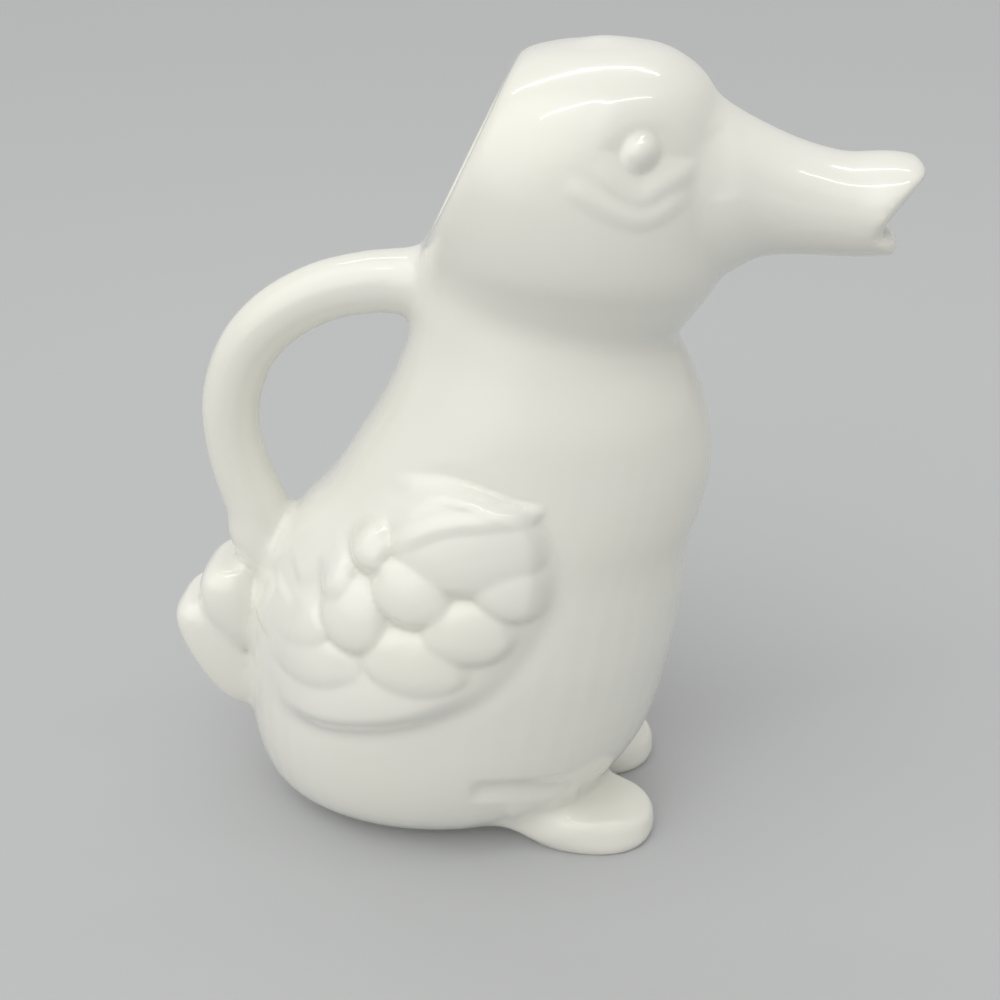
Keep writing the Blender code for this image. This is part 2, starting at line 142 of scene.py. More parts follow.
# Tail lobes in millimetres, from the lower tip up
UPPER_TAIL_RINGS = (
    Ring(-42.0, 31.6, -48.4, 32.4, 6.0),
    Ring(-42.0, 33.4, -51.6, 34.4, 8.2),
    Ring(-42.5, 36.6, -54.0, 37.6, 9.2),
    Ring(-43.5, 40.0, -55.8, 40.8, 9.5),
    Ring(-44.5, 43.6, -56.3, 44.2, 9.2),
    Ring(-45.5, 46.8, -55.4, 47.2, 8.2),
    Ring(-46.5, 48.8, -53.0, 49.1, 6.2),
)
LOWER_TAIL_RINGS = (
    Ring(-43.0, 18.8, -52.6, 19.8, 6.4),
    Ring(-43.0, 21.4, -55.2, 22.6, 8.0),
    Ring(-43.5, 25.6, -57.8, 26.8, 8.8),
    Ring(-44.5, 30.2, -60.0, 31.2, 9.0),
    Ring(-46.0, 34.6, -61.4, 35.4, 8.8),
    Ring(-48.0, 38.4, -61.5, 39.0, 8.2),
    Ring(-51.0, 41.2, -59.4, 41.6, 6.6),
)
TAIL_SQUARENESS = 3.0

# Places along the creases between tail and rump and between the lobes, in millimetres
TAIL_CREASES = (
    (-48.5, 3.3, 48.5), (-47.2, 5.0, 46.4), (-46.5, 7.0, 43.4), (-46.5, 8.2, 39.9), (-47.2, 8.6, 35.7),
    (-48.0, 8.4, 30.0), (-48.4, 7.4, 25.5), (-48.3, 6.1, 21.5), (-53.2, 8.1, 43.8), (-50.4, 9.9, 39.7),
)

# One foot in millimetres, from the sole up, before it is splayed and set in place
FOOT_RINGS = (
    Ring(14.6, -0.6, -9.0, -0.6, 8.8),
    Ring(15.6, 1.2, -12.5, 2.0, 9.9),
    Ring(15.6, 3.0, -23.0, 6.2, 10.3),
    Ring(15.2, 4.6, -26.0, 9.8, 10.0),
    Ring(14.4, 5.5, -26.0, 11.4, 9.3),
)
FOOT_SQUARENESS = 2.3
FOOT_PLACE = (13.0, 10.9)
FOOT_SPLAY = 4.5

# The leg on the flank and the fold over it in millimetres, each a line with its radius and height
LEG_LINES = (
    (((1.0, 10.0), (8.0, 10.6), (15.0, 10.6)), 5.0, 0.6),
    (((-5.0, 18.2), (4.0, 17.6), (13.5, 15.4)), 3.6, -0.8),
)

# Places where the leg runs into the foot, in millimetres
LEG_CREASES = (
    (-1.5, 17.8, 5.0), (2.0, 18.3, 5.5), (5.5, 18.2, 7.0), (9.0, 17.4, 8.3), (12.5, 16.8, 9.5),
    (16.0, 14.5, 10.5), (19.0, 10.5, 10.0), (20.5, 6.5, 9.0),
)

# Wing outline in millimetres on the flank, from the front round under the wing
WING_OUTLINE = (
    (10.5, 57.6), (8.4, 51.2), (0.7, 40.2), (-10.6, 33.0), (-21.4, 29.0), (-33.5, 26.4),
    (-40.6, 27.0), (-44.4, 33.6), (-42.4, 45.0), (-35.8, 54.6), (-29.0, 63.0), (-19.8, 72.4),
    (-7.6, 76.6), (4.9, 73.2), (9.9, 65.2),
)

# Feathers in millimetres on the flank: place, half sizes, turn in degrees, and row from the top
Feather = namedtuple("Feather", "x z half_length half_width turn row")
FEATHERS = (
    Feather(-4.0, 67.4, 14.6, 9.2, 6, 0),
    Feather(-20.2, 64.4, 5.2, 5.2, -30, 1),
    Feather(-13.2, 58.6, 7.8, 6.8, -4, 1),
    Feather(3.2, 60.2, 7.8, 6.4, -12, 1),
    Feather(-26.4, 59.0, 4.4, 7.4, 16, 2),
    Feather(-23.2, 52.8, 6.6, 7.4, -8, 2),
    Feather(-4.4, 52.6, 9.2, 6.6, -2, 2),
    Feather(-34.0, 48.0, 9.4, 6.0, 22, 3),
    Feather(-13.0, 46.2, 10.4, 7.2, -2, 3),
    Feather(-31.5, 42.8, 12.5, 6.8, 10, 4),
    Feather(-22.0, 36.6, 24.0, 8.6, 10, 5),
)
FEATHER_ROW_STEP = 0.14
FEATHER_TIP_BIAS = 0.25

# Lines round the eye in millimetres from its middle, and lines of the bill on its side
SOCKET = (
    (-6.4, 0.7), (-3.4, 3.4), (0.0, 4.5), (4.2, 3.6), (8.6, -1.6), (4.4, -3.9), (0.4, -5.4), (-3.2, -3.2),
)
UPPER_LID = ((-6.8, 1.6), (-3.8, 4.9), (0.0, 6.2), (4.8, 5.0), (9.0, 0.4))
LOWER_LID = ((-6.4, -0.8), (-3.2, -4.2), (0.4, -6.3), (4.4, -4.5), (9.0, -3.0))
CHEEK_FOLD = ((-10.6, -3.4), (-6.4, -6.2), (-1.6, -8.6), (2.2, -8.9), (7.6, -6.2))
FACE_GROOVE = ((30.6, 130.4), (31.6, 127.2), (32.2, 123.6), (32.6, 120.4))
BILL_RIDGE = ((34.4, 128.0), (38.4, 124.4), (42.0, 122.6), (45.3, 122.0), (50.5, 121.0), (55.0, 121.2))

# Where the sections part, as side views in millimetres, and the node that each tail lobe and foot stands for
BEAK_CUT = ((32.4, 142.0), (76.0, 142.0), (76.0, 100.4), (35.6, 100.4))
HANDLE_CUT = (
    (-16.4, 114.0), (-18.6, 100.0), (-20.6, 92.5), (-25.2, 84.0), (-31.2, 74.0), (-36.6, 65.5),
    (-38.4, 61.0), (-53.0, 57.4), (-76.0, 57.4), (-76.0, 114.0),
)
LOBES = {
    "upper_tail": "upper_tail_feather",
    "lower_tail": "lower_tail_feather",
    "right_foot": "right_foot",
    "left_foot": "left_foot",
}

# Fineness of the clay forms, and how far they reach into each other
RING_POINTS = 48
RING_STEPS = 4
OUTLINE_STEPS = 6
BEAD_END = 0.2
COLLAR = 0.006
SOLE_DEPTH = 0.0006
CORE_SHRINK = 0.0004
LOBE_MARGIN = 0.0012
FAR = 0.3
WEIGHT_LEVELS = 10
HANDLE_ROOT_DROP = 0.0069
HANDLE_FOOT_LIFT = 0.003
HANDLE_SINK = 0.007
BORE_OVERRUN = 0.010
FOOT_RIM_WIDTH = 0.004
FOOT_RECESS = 0.0012

# Softness of the luted creases and of the sponging
SPONGE_FACTOR = 0.5
SPOT_HEART = 0.4
NECK_SOFTNESS = 0.006
BEAK_SOFTNESS = 0.005
HANDLE_SOFTNESS = 0.012
HANDLE_CROTCH = (-38.0, 61.0)
CROWN_SOFTNESS = 0.0075
CREASE_PASSES = 40
RIM_SOFTNESS = 0.0090
RIM_SPAN = 0.88
RIM_INNER_SHARE = 0.78
RIM_PASSES = 36
LEG_SOFTNESS = 0.0060
LEG_PASSES = 120
TAIL_SOFTNESS = 0.0034
TAIL_PASSES = 16
HOLLOW_PASSES = 4
SPONGE_PASSES = 10
REFINE_PASSES = 4
RELIEF_PASSES = 3
BORDER_PASSES = 16
FEATHER_PASSES = 22
EYE_PASSES = 5

# Where close modelling is done, as side views in millimetres
WING_BOX = (-48.0, 13.0, 22.0, 80.0)
WING_REGION = (
    (13.5, 58.0), (11.0, 49.0), (3.0, 37.6), (-9.6, 29.4), (-21.0, 25.4), (-33.5, 22.8),
    (-42.6, 24.0), (-47.6, 33.0), (-45.4, 46.0), (-38.4, 57.0), (-31.4, 65.6), (-21.0, 75.6),
    (-8.0, 80.0), (7.0, 76.0), (13.0, 66.0),
)
FACE_BOX = (8.0, 58.0, 104.0, 136.0)
LEG_BOX = (-9.0, 21.0, 1.6, 24.0)

# How far the outer skin turns to its side, and how far it lies from the middle
OUTER_TURN = 0.05
OUTER_FADE = 0.45
FLANK_DEPTH = 0.006
CHEEK_DEPTH = 0.002

# Relief of wing, eye and bill: edges, heights and places in millimetres, the rest as shares
FEATHER_EDGE_LEVEL = 0.1
FEATHER_EDGE_SPREAD = 0.5
FEATHER_SQUARENESS = 0.4
FEATHER_SOFT_EDGE = 3.0
FEATHER_CRISP_EDGE = 1.8
WING_TOP_EDGE = 2.6
WING_LOW_EDGE = 6.0
WING_REAR_EDGE = 8.0
WING_TOP_SPAN = (59.0, 73.0)
WING_FADE = (-0.8, 0.5, 44.0, 10.0)
WING_ROOT_SPAN = (-44.0, -27.0)
WING_GROOVE = (3.0, 0.15)
WING_RIDGES = (
    (((-21.0, 63.0), (-10.0, 70.0), (-3.0, 72.0), (4.6, 72.8), (8.0, 72.4)), 1.9, 0.42),
    (((-18.0, 73.0), (-12.0, 74.8), (-5.9, 75.2), (4.6, 72.8), (7.0, 71.6)), 1.9, 0.38),
    (((-43.6, 41.4), (-40.5, 46.6), (-37.0, 52.0)), 2.8, 0.5),
    (((-35.6, 54.0), (-30.4, 59.0), (-25.2, 63.2)), 2.6, 0.4),
)
EYE_ROUNDNESS = 1.45
SOCKET_DEPTH = 0.65
SOCKET_EDGE = 3.4
EYE_LINES = ((UPPER_LID, 2.8, 0.12), (LOWER_LID, 2.0, 0.24), (CHEEK_FOLD, 2.2, 0.34))
BILL_LINES = ((FACE_GROOVE, 3.0, -0.22), (BILL_RIDGE, 2.6, 0.2))

# Painted shade in the creases, seams and the eye's room
CREASE_SHADE_PASSES = 12
CREASE_SHADE_RADIUS = 0.0016
SMALLEST_STEP = 1e-12
SEAM_REACH = 0.00005
KEY_STEP = 0.000001
KEY_SPAN = 2 ** 20
EYE_ROOM = 0.0035

# Thinning of the body's hollow side, which is out of sight
INSIDE_DEPTH = 0.002
INSIDE_RATIO = 0.62

# Fired surfaces: size of tone and grain, spans that masks run over, gloss and bump
GLAZE_GRAIN = {"Tone Size": 38.0, "Grain Size": 900.0}
BISCUIT_GRAIN = {"Tone Size": 60.0, "Grain Size": 1800.0}
FLOOR_GRAIN = {"Tone Size": 3.0, "Grain Size": 400.0}
TONE_DETAIL = 2.0
GRAIN_DETAIL = 4.0
GRAIN_SPAN = (0.3, 0.7)
CREASE_SHADE_SPAN = (0.05, 0.75)
BARE_SPAN = (0.0002, 0.0007)
GLAZE_ROUGHNESS = (0.16, 0.24)
BISCUIT_ROUGHNESS = (0.75, 0.9)
BARE_ROUGHNESS = 0.8
COAT_WEIGHT = 0.9
GLAZE_GLOSS = {"Coat Roughness": 0.035, "Coat IOR": 1.5, "IOR": 1.45}
FLOOR_GLOSS = {"Roughness": 0.9, "Specular IOR Level": 0.1}
GLAZE_BUMP = {"Strength": 0.12, "Distance": 0.002}
BISCUIT_BUMP = {"Strength": 0.3, "Distance": 0.0003}
BISCUIT_SHADE = 0.9
FLOOR_SHADE = 0.98
MIX_SOCKETS = {"RGBA": (6, 7, 2), "FLOAT": (2, 3, 0)}

# Floor, light and camera
FLOOR_SIZE = 6.0
FLOOR_STEPS = 8
STRIPS = {"strip_near": (0.06, -0.14, 0.62), "strip_far": (-0.02, 0.22, 0.62)}
STRIP_SIZE = (0.60, 0.025)
STRIP_TARGET = (0.0, 0.0, 0.08)
FILL_TINT = (1.0, 0.995, 0.97, 1.0)
GLOW_AIM = (-0.45, -0.55, 0.70)
GLOW_REACH = 52.0
GLOW_HEART = 12.0
CAMERA_PLACE = (0.0171, -0.2122, 0.177)
CAMERA_AIM = (-0.0767, 0.8772, -0.4741)
CAMERA_ANGLE = 40.0


def length_property(name, description, default, precision=4):
    """A size that the panel shows."""
    return bpy.props.FloatProperty(
        name=name, description=description, default=default, unit="LENGTH", precision=precision
    )


def colour_property(name, description, default):
    """A colour that the panel shows."""
    return bpy.props.FloatVectorProperty(
        name=name, description=description, default=default, subtype="COLOR", size=3, min=0.0, max=1.0
    )


def light_property(name, description, default):
    """A level of light that the panel shows."""
    return bpy.props.FloatProperty(name=name, description=description, default=default, min=0.0)


def record_colour():
    """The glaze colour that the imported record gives."""
    for material in frame["record"]["materials"]:
        if material["slot"] == GLAZE_SLOT:
            return tuple(material["base_color"][:3])
    raise ValueError("the record has no slot for the glaze")


class CreamerSizes(bpy.types.PropertyGroup):
    """Sizes of the jug."""

    body_length: length_property("Body length", "Breast to rump", 0.084)
    body_width: length_property("Body width", "Flank to flank, without the wings", 0.056)
    body_height: length_property("Body height", "Foot to the middle of the neck", 0.100)
    head_length: length_property("Head length", "Nape to face", 0.053)
    head_width: length_property("Head width", "Cheek to cheek", 0.044)
    head_height: length_property("Head height", "Neck to crown", 0.0406)
    beak_length: length_property("Beak length", "Face to mouth", 0.028)
    beak_depth: length_property("Beak depth", "Depth of the beak's root", 0.025)
    beak_width: length_property("Beak width", "Across the bill", 0.020)
    wall: length_property("Wall", "Thickness of the cast wall", 0.0035)
    beak_wall: length_property("Beak wall", "Thickness of the beak's wall", 0.0027)
    handle_thickness: length_property("Handle thickness", "Across the handle", 0.0101)
    handle_reach: length_property("Handle reach", "How far the loop stands behind its root", 0.0350)
    wing_rise: length_property("Wing rise", "How far the wing stands off the flank", 0.0012)
    feather_rise: length_property("Feather rise", "How far a feather stands off the wing", 0.0017)
    eye_diameter: length_property("Eye diameter", "Across the dome of the eye", 0.0061)
    eye_rise: length_property("Eye rise", "Height of the dome of the eye", 0.0015)
    fineness: length_property("Fineness", "Grain of the modelled skin", 0.0006, precision=5)


class CreamerFinish(bpy.types.PropertyGroup):
    """Colours of the fired jug, and the painted shade of its creases."""

    glaze_colour: colour_property("Glaze", "White glaze over white clay", record_colour())
    tone_colour: colour_property(
        "Ivory tone", "Warmer tone that the glaze takes in patches", (0.79, 0.78, 0.69)
    )
    # Painted shade: the creases and hollows are darkened and yellowed with this colour, standing in for the
    # shade that falls there.
    crease_shade_colour: colour_property(
        "Painted crease shade", "Darker colour painted into the creases as shade", (0.66, 0.66, 0.58)
    )
    biscuit_colour: colour_property("Biscuit", "Bare fired clay under the foot", (0.72, 0.68, 0.60))


class CreamerStage(bpy.types.PropertyGroup):
    """Light and floor."""

    floor_colour: colour_property("Floor", "Plain pale floor", (0.50, 0.51, 0.52))
    strip_power: light_property("Overhead strip", "Watts of the strip light overhead", 0.30)
    glow_level: light_property("Glow", "Level of the large soft glow beside the camera", 1.15)
    fill_level: light_property("Fill", "Level of the light from all round", 0.64)


def select_only(*things):
    """Selects these objects alone, with the first one active."""
    bpy.ops.object.select_all(action="DESELECT")
    for thing in things:
        thing.select_set(True)
    bpy.context.view_layer.objects.active = things[0]


def discard(*things):
    """Removes helper objects."""
    for thing in things:
        bpy.data.objects.remove(thing, do_unlink=True)


def found(name):
    """An object made by an earlier step."""
    if name not in bpy.data.objects:
        raise RuntimeError("the step that makes %s has to run first" % name)
    return bpy.data.objects[name]


def added(name, primitive, **settings):
    """A new primitive, selected alone, under a name."""
    bpy.ops.object.select_all(action="DESELECT")
    primitive(**settings)
    bpy.context.object.name = name
    return bpy.context.object


def copy_of(thing, name):
    """A copy of an object with its own mesh."""
    select_only(thing)
    bpy.ops.object.duplicate()
    bpy.context.object.name = name
    return bpy.context.object


def join(name, *forms):
    """Several forms as one object."""
    select_only(*forms)
    bpy.ops.object.join()
    bpy.context.object.name = name
    return bpy.context.object


def open_form(form):
    """Starts to edit a form, with all of it selected."""
    select_only(form)
    bpy.ops.object.mode_set(mode="EDIT")
    bpy.ops.mesh.select_all(action="SELECT")


def close_form():
    """Turns the faces of the form that is being edited outwards, and ends editing it."""
    bpy.ops.mesh.select_all(action="SELECT")
    bpy.ops.mesh.normals_make_consistent(inside=False)
    bpy.ops.object.mode_set(mode="OBJECT")


def finish_modifier(thing, kind, **settings):
    """Adds a modifier with its settings and applies it."""
    select_only(thing)
    modifier = thing.modifiers.new(kind.lower(), kind)
    for name, value in settings.items():
        setattr(modifier, name, value)
    bpy.ops.object.modifier_apply(modifier=modifier.name)


def creamer_sizes():
    """The sizes that the panel shows."""
    return bpy.context.scene.creamer_sizes


def creamer_finish():
    """The colours that the panel shows."""
    return bpy.context.scene.creamer_finish


def ring_centre(ring):
    """Middle of a ring."""
    return Vector(((ring.front_x + ring.back_x) / 2, 0, (ring.front_z + ring.back_z) / 2))


def ring_tilt(ring):
    """Slope of a ring from back to front."""
    return math.atan2(ring.front_z - ring.back_z, ring.front_x - ring.back_x)


def ring_reach(ring):
    """Half the length of a ring from back to front."""
    return math.hypot(ring.front_x - ring.back_x, ring.front_z - ring.back_z) / 2


def scaled(rings, origin, length, height, width):
    """Rings given in percent, as metres from an origin."""
    return [
        Ring(
            origin.x + ring.front_x * length / 100,
            origin.z + ring.front_z * height / 100,
            origin.x + ring.back_x * length / 100,
            origin.z + ring.back_z * height / 100,
            ring.half_width * width / 200,
        )
        for ring in rings
    ]


def in_metres(rings):
    """Rings given in millimetres, as metres."""
    return [Ring(*(value * MM for value in ring)) for ring in rings]


def moved(ring, shift):
    """A ring carried along by a vector."""
    return Ring(
        ring.front_x + shift.x, ring.front_z + shift.z, ring.back_x + shift.x, ring.back_z + shift.z,
        ring.half_width,
    )


def curve_between(rows, steps, closed=False):
    """Rows of numbers put between the given ones, on Catmull-Rom curves."""
    count = len(rows)
    last = count if closed else count - 1
    result = []
    for index in range(last):
        around = []
        for offset in (-1, 0, 1, 2):
            place = index + offset
            around.append(rows[place % count] if closed else rows[min(max(place, 0), count - 1)])
        for step in range(steps):
            t = step / steps
            row = []
            for a, b, c, d in zip(*around):
                bend = (c - a) * t + (2 * a - 5 * b + 4 * c - d) * t ** 2 + (3 * b - a - 3 * c + d) * t ** 3
                row.append(b + 0.5 * bend)
            result.append(row)
    if not closed:
        result.append(list(rows[-1]))
    return result


def rings_between(rings):
    """Rings put between the given ones."""
    return [Ring(*row) for row in curve_between(rings, RING_STEPS)]


def body_rings(sizes):
    """The body's rings in metres, foot first."""
    return scaled(BODY_RINGS, Vector((0, 0, 0)), sizes.body_length, sizes.body_height, sizes.body_width)


def neck_ring(sizes):
    """The ring where body and head meet."""
    return body_rings(sizes)[-1]


def neck_up(sizes):
    """Direction up the neck, square to its ring."""
    tilt = ring_tilt(neck_ring(sizes))
    return Vector((-math.sin(tilt), 0, math.cos(tilt)))


def head_rings(sizes):
    """The head's rings in metres, starting with the body's neck ring."""
    neck = neck_ring(sizes)
    centre = ring_centre(neck)
    return [neck] + scaled(HEAD_RINGS, centre, sizes.head_length, sizes.head_height, sizes.head_width)


def head_place(sizes, place):
    """A point of the head's middle plane, given in percent from the neck's centre."""
    neck = ring_centre(neck_ring(sizes))
    return neck + Vector((place[0] * sizes.head_length / 100, 0, place[1] * sizes.head_height / 100))


def beak_rings(sizes):
    """The beak's rings in metres from the front of the face, root first; a beak ring's front is its top."""
    face = head_rings(sizes)[1 + FACE_RING]
    front = Vector((face.front_x, 0, face.front_z))
    return scaled(BEAK_RINGS, front, sizes.beak_length, sizes.beak_depth, sizes.beak_width)


def reshape_ring(old, new):
    """Turns the selected ring of points from one oval into another."""
    centre = ring_centre(old)
    bpy.ops.transform.rotate(value=-ring_tilt(old), orient_axis="Y", center_override=centre)
    stretch = (ring_reach(new) / ring_reach(old), new.half_width / old.half_width, 1)
    bpy.ops.transform.resize(value=stretch, center_override=centre)
    bpy.ops.transform.rotate(value=ring_tilt(new), orient_axis="Y", center_override=centre)
    bpy.ops.transform.translate(value=ring_centre(new) - centre)


def flat_disc(name, points):
    """A filled disc in the floor's plane, to pull a form from."""
    circle = bpy.ops.mesh.primitive_circle_add
    return added(name, circle, vertices=points, fill_type="NGON", location=(0, 0, 0))


def pull_form(name, rings, squareness=2.0):
    """A closed clay form, pulled from a disc through a row of rings that are ovals, or squarer."""
    form = flat_disc(name, RING_POINTS)
    for vertex in form.data.vertices:
        for axis in (0, 1):
            vertex.co[axis] = math.copysign(abs(vertex.co[axis]) ** (2 / squareness), vertex.co[axis])
    open_form(form)
    disc = Ring(1, 0, -1, 0, 1)
    reshape_ring(disc, rings[0])
    for old, new in zip(rings, rings[1:]):
        bpy.ops.mesh.extrude_region_move()
        reshape_ring(old, new)
    close_form()
    return form


def swollen_copy(form, name, growth):
    """A copy of a form, larger or smaller by an even margin."""
    copy = copy_of(form, name)
    open_form(copy)
    bpy.ops.transform.shrink_fatten(value=growth, use_even_offset=True)
    bpy.ops.object.mode_set(mode="OBJECT")
    return copy


def half_space(name, point, normal):
    """A big box that covers everything on the normal's side of a plane."""
    turn = normal.to_track_quat("Z", "Y").to_euler()
    place = point + normal * FAR
    return added(name, bpy.ops.mesh.primitive_cube_add, size=2 * FAR, location=place, rotation=turn)


def side_prism(name, outline, near, far, slices=1, bow=0.0):
    """A block with a side-view outline, reaching across the duck, set back in a bow away from the middle."""
    prism = flat_disc(name, len(outline))
    step = (far - near) / slices
    depths = [near + step * index for index in range(slices + 1)]
    for vertex, (x, z) in zip(prism.data.vertices, outline):
        vertex.co = (x * MM - bow * near ** 2, near, z * MM)
    open_form(prism)
    for before, after in zip(depths, depths[1:]):
        shift = (bow * (before ** 2 - after ** 2), after - before, 0)
        bpy.ops.mesh.extrude_region_move(TRANSFORM_OT_translate={"value": shift})
    close_form()
    return prism


def ball_room(name, centre, radius):
    """A ball-shaped room round a point."""
    return added(
        name, bpy.ops.mesh.primitive_uv_sphere_add, segments=RING_POINTS, ring_count=RING_POINTS // 2,
        radius=radius, location=centre,
    )


def remesh(form, grain):
    """Melts overlapping forms into one skin of even grain."""
    finish_modifier(form, "REMESH", mode="VOXEL", voxel_size=grain, use_smooth_shade=True)


def cut(form, cutter, operation="DIFFERENCE"):
    """Cuts a form with another solid."""
    finish_modifier(form, "BOOLEAN", operation=operation, solver="MANIFOLD", object=cutter)


def read_values(items, name, kind, width=1):
    """One value, or a row of them, for each item of a mesh."""
    values = np.empty(len(items) * width, dtype=kind)
    items.foreach_get(name, values)
    return values.reshape(-1, width) if width > 1 else values


def read_points(skin):
    """Places and normals of a skin's points."""
    places = read_values(skin.data.vertices, "co", float, 3)
    return places, read_values(skin.data.vertex_normals, "vector", float, 3)


def write_points(skin, places):
    """Puts a skin's points back."""
    skin.data.vertices.foreach_set("co", places.ravel())
    skin.data.update()


def face_corners(mesh):
    """The point at each corner of a mesh's faces, and the face that each corner belongs to."""
    corners = read_values(mesh.loops, "vertex_index", np.int32)
    totals = read_values(mesh.polygons, "loop_total", np.int32)
    return corners, np.repeat(np.arange(len(totals)), totals)


def neighbours(skin):
    """For every edge of a skin, taken both ways, its two points, and how many edges each point has."""
    ends = read_values(skin.data.edges, "vertices", np.int32, 2)
    first = np.concatenate((ends[:, 0], ends[:, 1]))
    second = np.concatenate((ends[:, 1], ends[:, 0]))
    return first, second, np.maximum(np.bincount(first, minlength=len(skin.data.vertices)), 1)


def spread(values, edges, passes):
    """Values at a skin's points, blended with those of their neighbours."""
    first, second, count = edges
    for _ in range(passes):
        around = np.bincount(first, weights=values[second], minlength=len(values)) / count
        values = (values + around) / 2
    return values


def ease(share):
    """A soft step from 0 to 1."""
    share = np.clip(share, 0.0, 1.0)
    return share * share * (3 - 2 * share)


def ease_over(value, span):
    """A soft step from 0 to 1 over a span of values."""
    return ease((value - span[0]) / (span[1] - span[0]))


def weight_group(skin, strength):
    """A vertex group from strengths between 0 and 1."""
    group = skin.vertex_groups.new(name="strength")
    levels = np.round(strength * WEIGHT_LEVELS).astype(int)
    for level in range(1, WEIGHT_LEVELS + 1):
        group.add(np.flatnonzero(levels == level).tolist(), level / WEIGHT_LEVELS, "REPLACE")
    return group.name


def soften(form, passes, strength=None):
    """Sponges the clay smooth, all over or with a strength from 0 to 1 at each point."""
    group = "" if strength is None else weight_group(form, strength)
    finish_modifier(form, "SMOOTH", factor=SPONGE_FACTOR, iterations=passes, vertex_group=group)
    form.vertex_groups.clear()


def soften_spots(form, passes, spots):
    """Sponges the clay smooth near given spots, each with its radius."""
    points, _ = read_points(form)
    strength = np.zeros(len(points))
    for spot, radius in spots:
        gap = np.linalg.norm(points - np.array(spot), axis=1) / radius
        strength = np.maximum(strength, 1 - ease_over(gap, (SPOT_HEART, 1)))
    soften(form, passes, strength)


def line_distance(x, z, line, closed=False):
    """Distance from points to a line, both seen from the side, and their place along it, from 0 to 1."""
    ends = list(line[1:]) + ([line[0]] if closed else [])
    nearest = np.full(len(x), np.inf)
    place = np.zeros(len(x))
    for index, ((ax, az), (bx, bz)) in enumerate(zip(line, ends)):
        along = ((x - ax) * (bx - ax) + (z - az) * (bz - az)) / ((bx - ax) ** 2 + (bz - az) ** 2)
        along = np.clip(along, 0.0, 1.0)
        gap = np.hypot(x - ax - along * (bx - ax), z - az - along * (bz - az))
        closer = gap < nearest
        nearest = np.where(closer, gap, nearest)
        place = np.where(closer, (index + along) / len(ends), place)
    return nearest, place


def inside(x, z, outline):
    """Whether points lie within an outline, seen from the side."""
    within = np.zeros(len(x), dtype=bool)
    for (ax, az), (bx, bz) in zip(outline, list(outline[1:]) + [outline[0]]):
        if az == bz:
            continue
        crosses = (az > z) != (bz > z)
        within ^= crosses & (x < (bx - ax) * (z - az) / (bz - az) + ax)
    return within


def beads(x, z, lines, base=0):
    """A base raised by soft beads, or cut by grooves if negative, along lines that fade at their ends."""
    for line, radius, height in lines:
        gap, place = line_distance(x, z, curve_between(line, OUTLINE_STEPS))
        share = np.clip(1 - (gap / radius) ** 2, 0.0, 1.0) ** 2
        base = base + height * share * ease(np.minimum(place, 1 - place) / BEAD_END)
    return base


class CREAMER_OT_throw_body(bpy.types.Operator):
    """Throws the body, from its foot to a collar inside the head, and the hollow in it"""

    bl_idname = "creamer.throw_body"
    bl_label = "Throw body"

    def execute(self, context):
        sizes = creamer_sizes()
        rings = rings_between(body_rings(sizes))
        sole = moved(rings[0], Vector((0, 0, -SOLE_DEPTH)))
        collar = moved(rings[-1], neck_up(sizes) * COLLAR)
        clay = pull_form("clay_body", [sole] + rings + [collar])
        swollen_copy(clay, "hollow_body", -sizes.wall)
        return {"FINISHED"}


class CREAMER_OT_throw_head(bpy.types.Operator):
    """Throws the head over the neck, opens it behind along the slanted rim, and makes the hollow in it"""

    bl_idname = "creamer.throw_head"
    bl_label = "Throw head"

    def execute(self, context):
        sizes = creamer_sizes()
        rings = rings_between(head_rings(sizes))
        collar = moved(rings[0], neck_up(sizes) * -COLLAR)
        clay = pull_form("clay_head", [collar] + rings)
        swollen_copy(clay, "hollow_head", -sizes.wall)

        bottom = head_place(sizes, RIM_BOTTOM)
        slope = head_place(sizes, RIM_TOP) - bottom
        outward = Vector((-slope.z, 0, slope.x)).normalized()
        mouth = half_space("filling_mouth", bottom, outward)
        cut(clay, mouth)
        discard(mouth)
        return {"FINISHED"}


class CREAMER_OT_pull_beak(bpy.types.Operator):
    """Pulls the beak from the face, with its bore and the notch between bill and lower lip"""

    bl_idname = "creamer.pull_beak"
    bl_label = "Pull beak"

    def execute(self, context):
        sizes = creamer_sizes()
        rings = rings_between(beak_rings(sizes))
        pull_form("clay_beak", rings)

        ahead = Vector((BORE_OVERRUN, 0, 0))
        bore_rings = [moved(rings[0], -ahead)] + rings[:-RING_STEPS] + [moved(rings[-RING_STEPS], ahead)]
        bore = pull_form("whole_bore", bore_rings)
        swollen_copy(bore, "hollow_beak", -sizes.beak_wall)
        discard(bore)

        side_prism("mouth_notch", MOUTH_CUT, -sizes.beak_width, sizes.beak_width, MOUTH_SLICES, MOUTH_BOW)
        return {"FINISHED"}


def handle_path(sizes):
    """Points and thickness ratios of the handle, from inside the neck to inside the rump."""
    root = head_place(sizes, RIM_BOTTOM) - Vector((0, 0, HANDLE_ROOT_DROP))
    rump = body_rings(sizes)[RUMP_RING]
    foot = Vector((rump.back_x, 0, rump.back_z + HANDLE_FOOT_LIFT))
    points = [(root.x + HANDLE_SINK, root.z, HANDLE_PATH[0][2])]
    for back, down, ratio in HANDLE_PATH:
        x = root.x - back * sizes.handle_reach / 100
        z = root.z + (foot.z - root.z) * down / 100
        points.append((x, z, ratio))
    points.append((foot.x, foot.z, HANDLE_FOOT_FLARE))
    points.append((foot.x + HANDLE_SINK, foot.z - HANDLE_SINK, HANDLE_FOOT_FLARE))
    return points


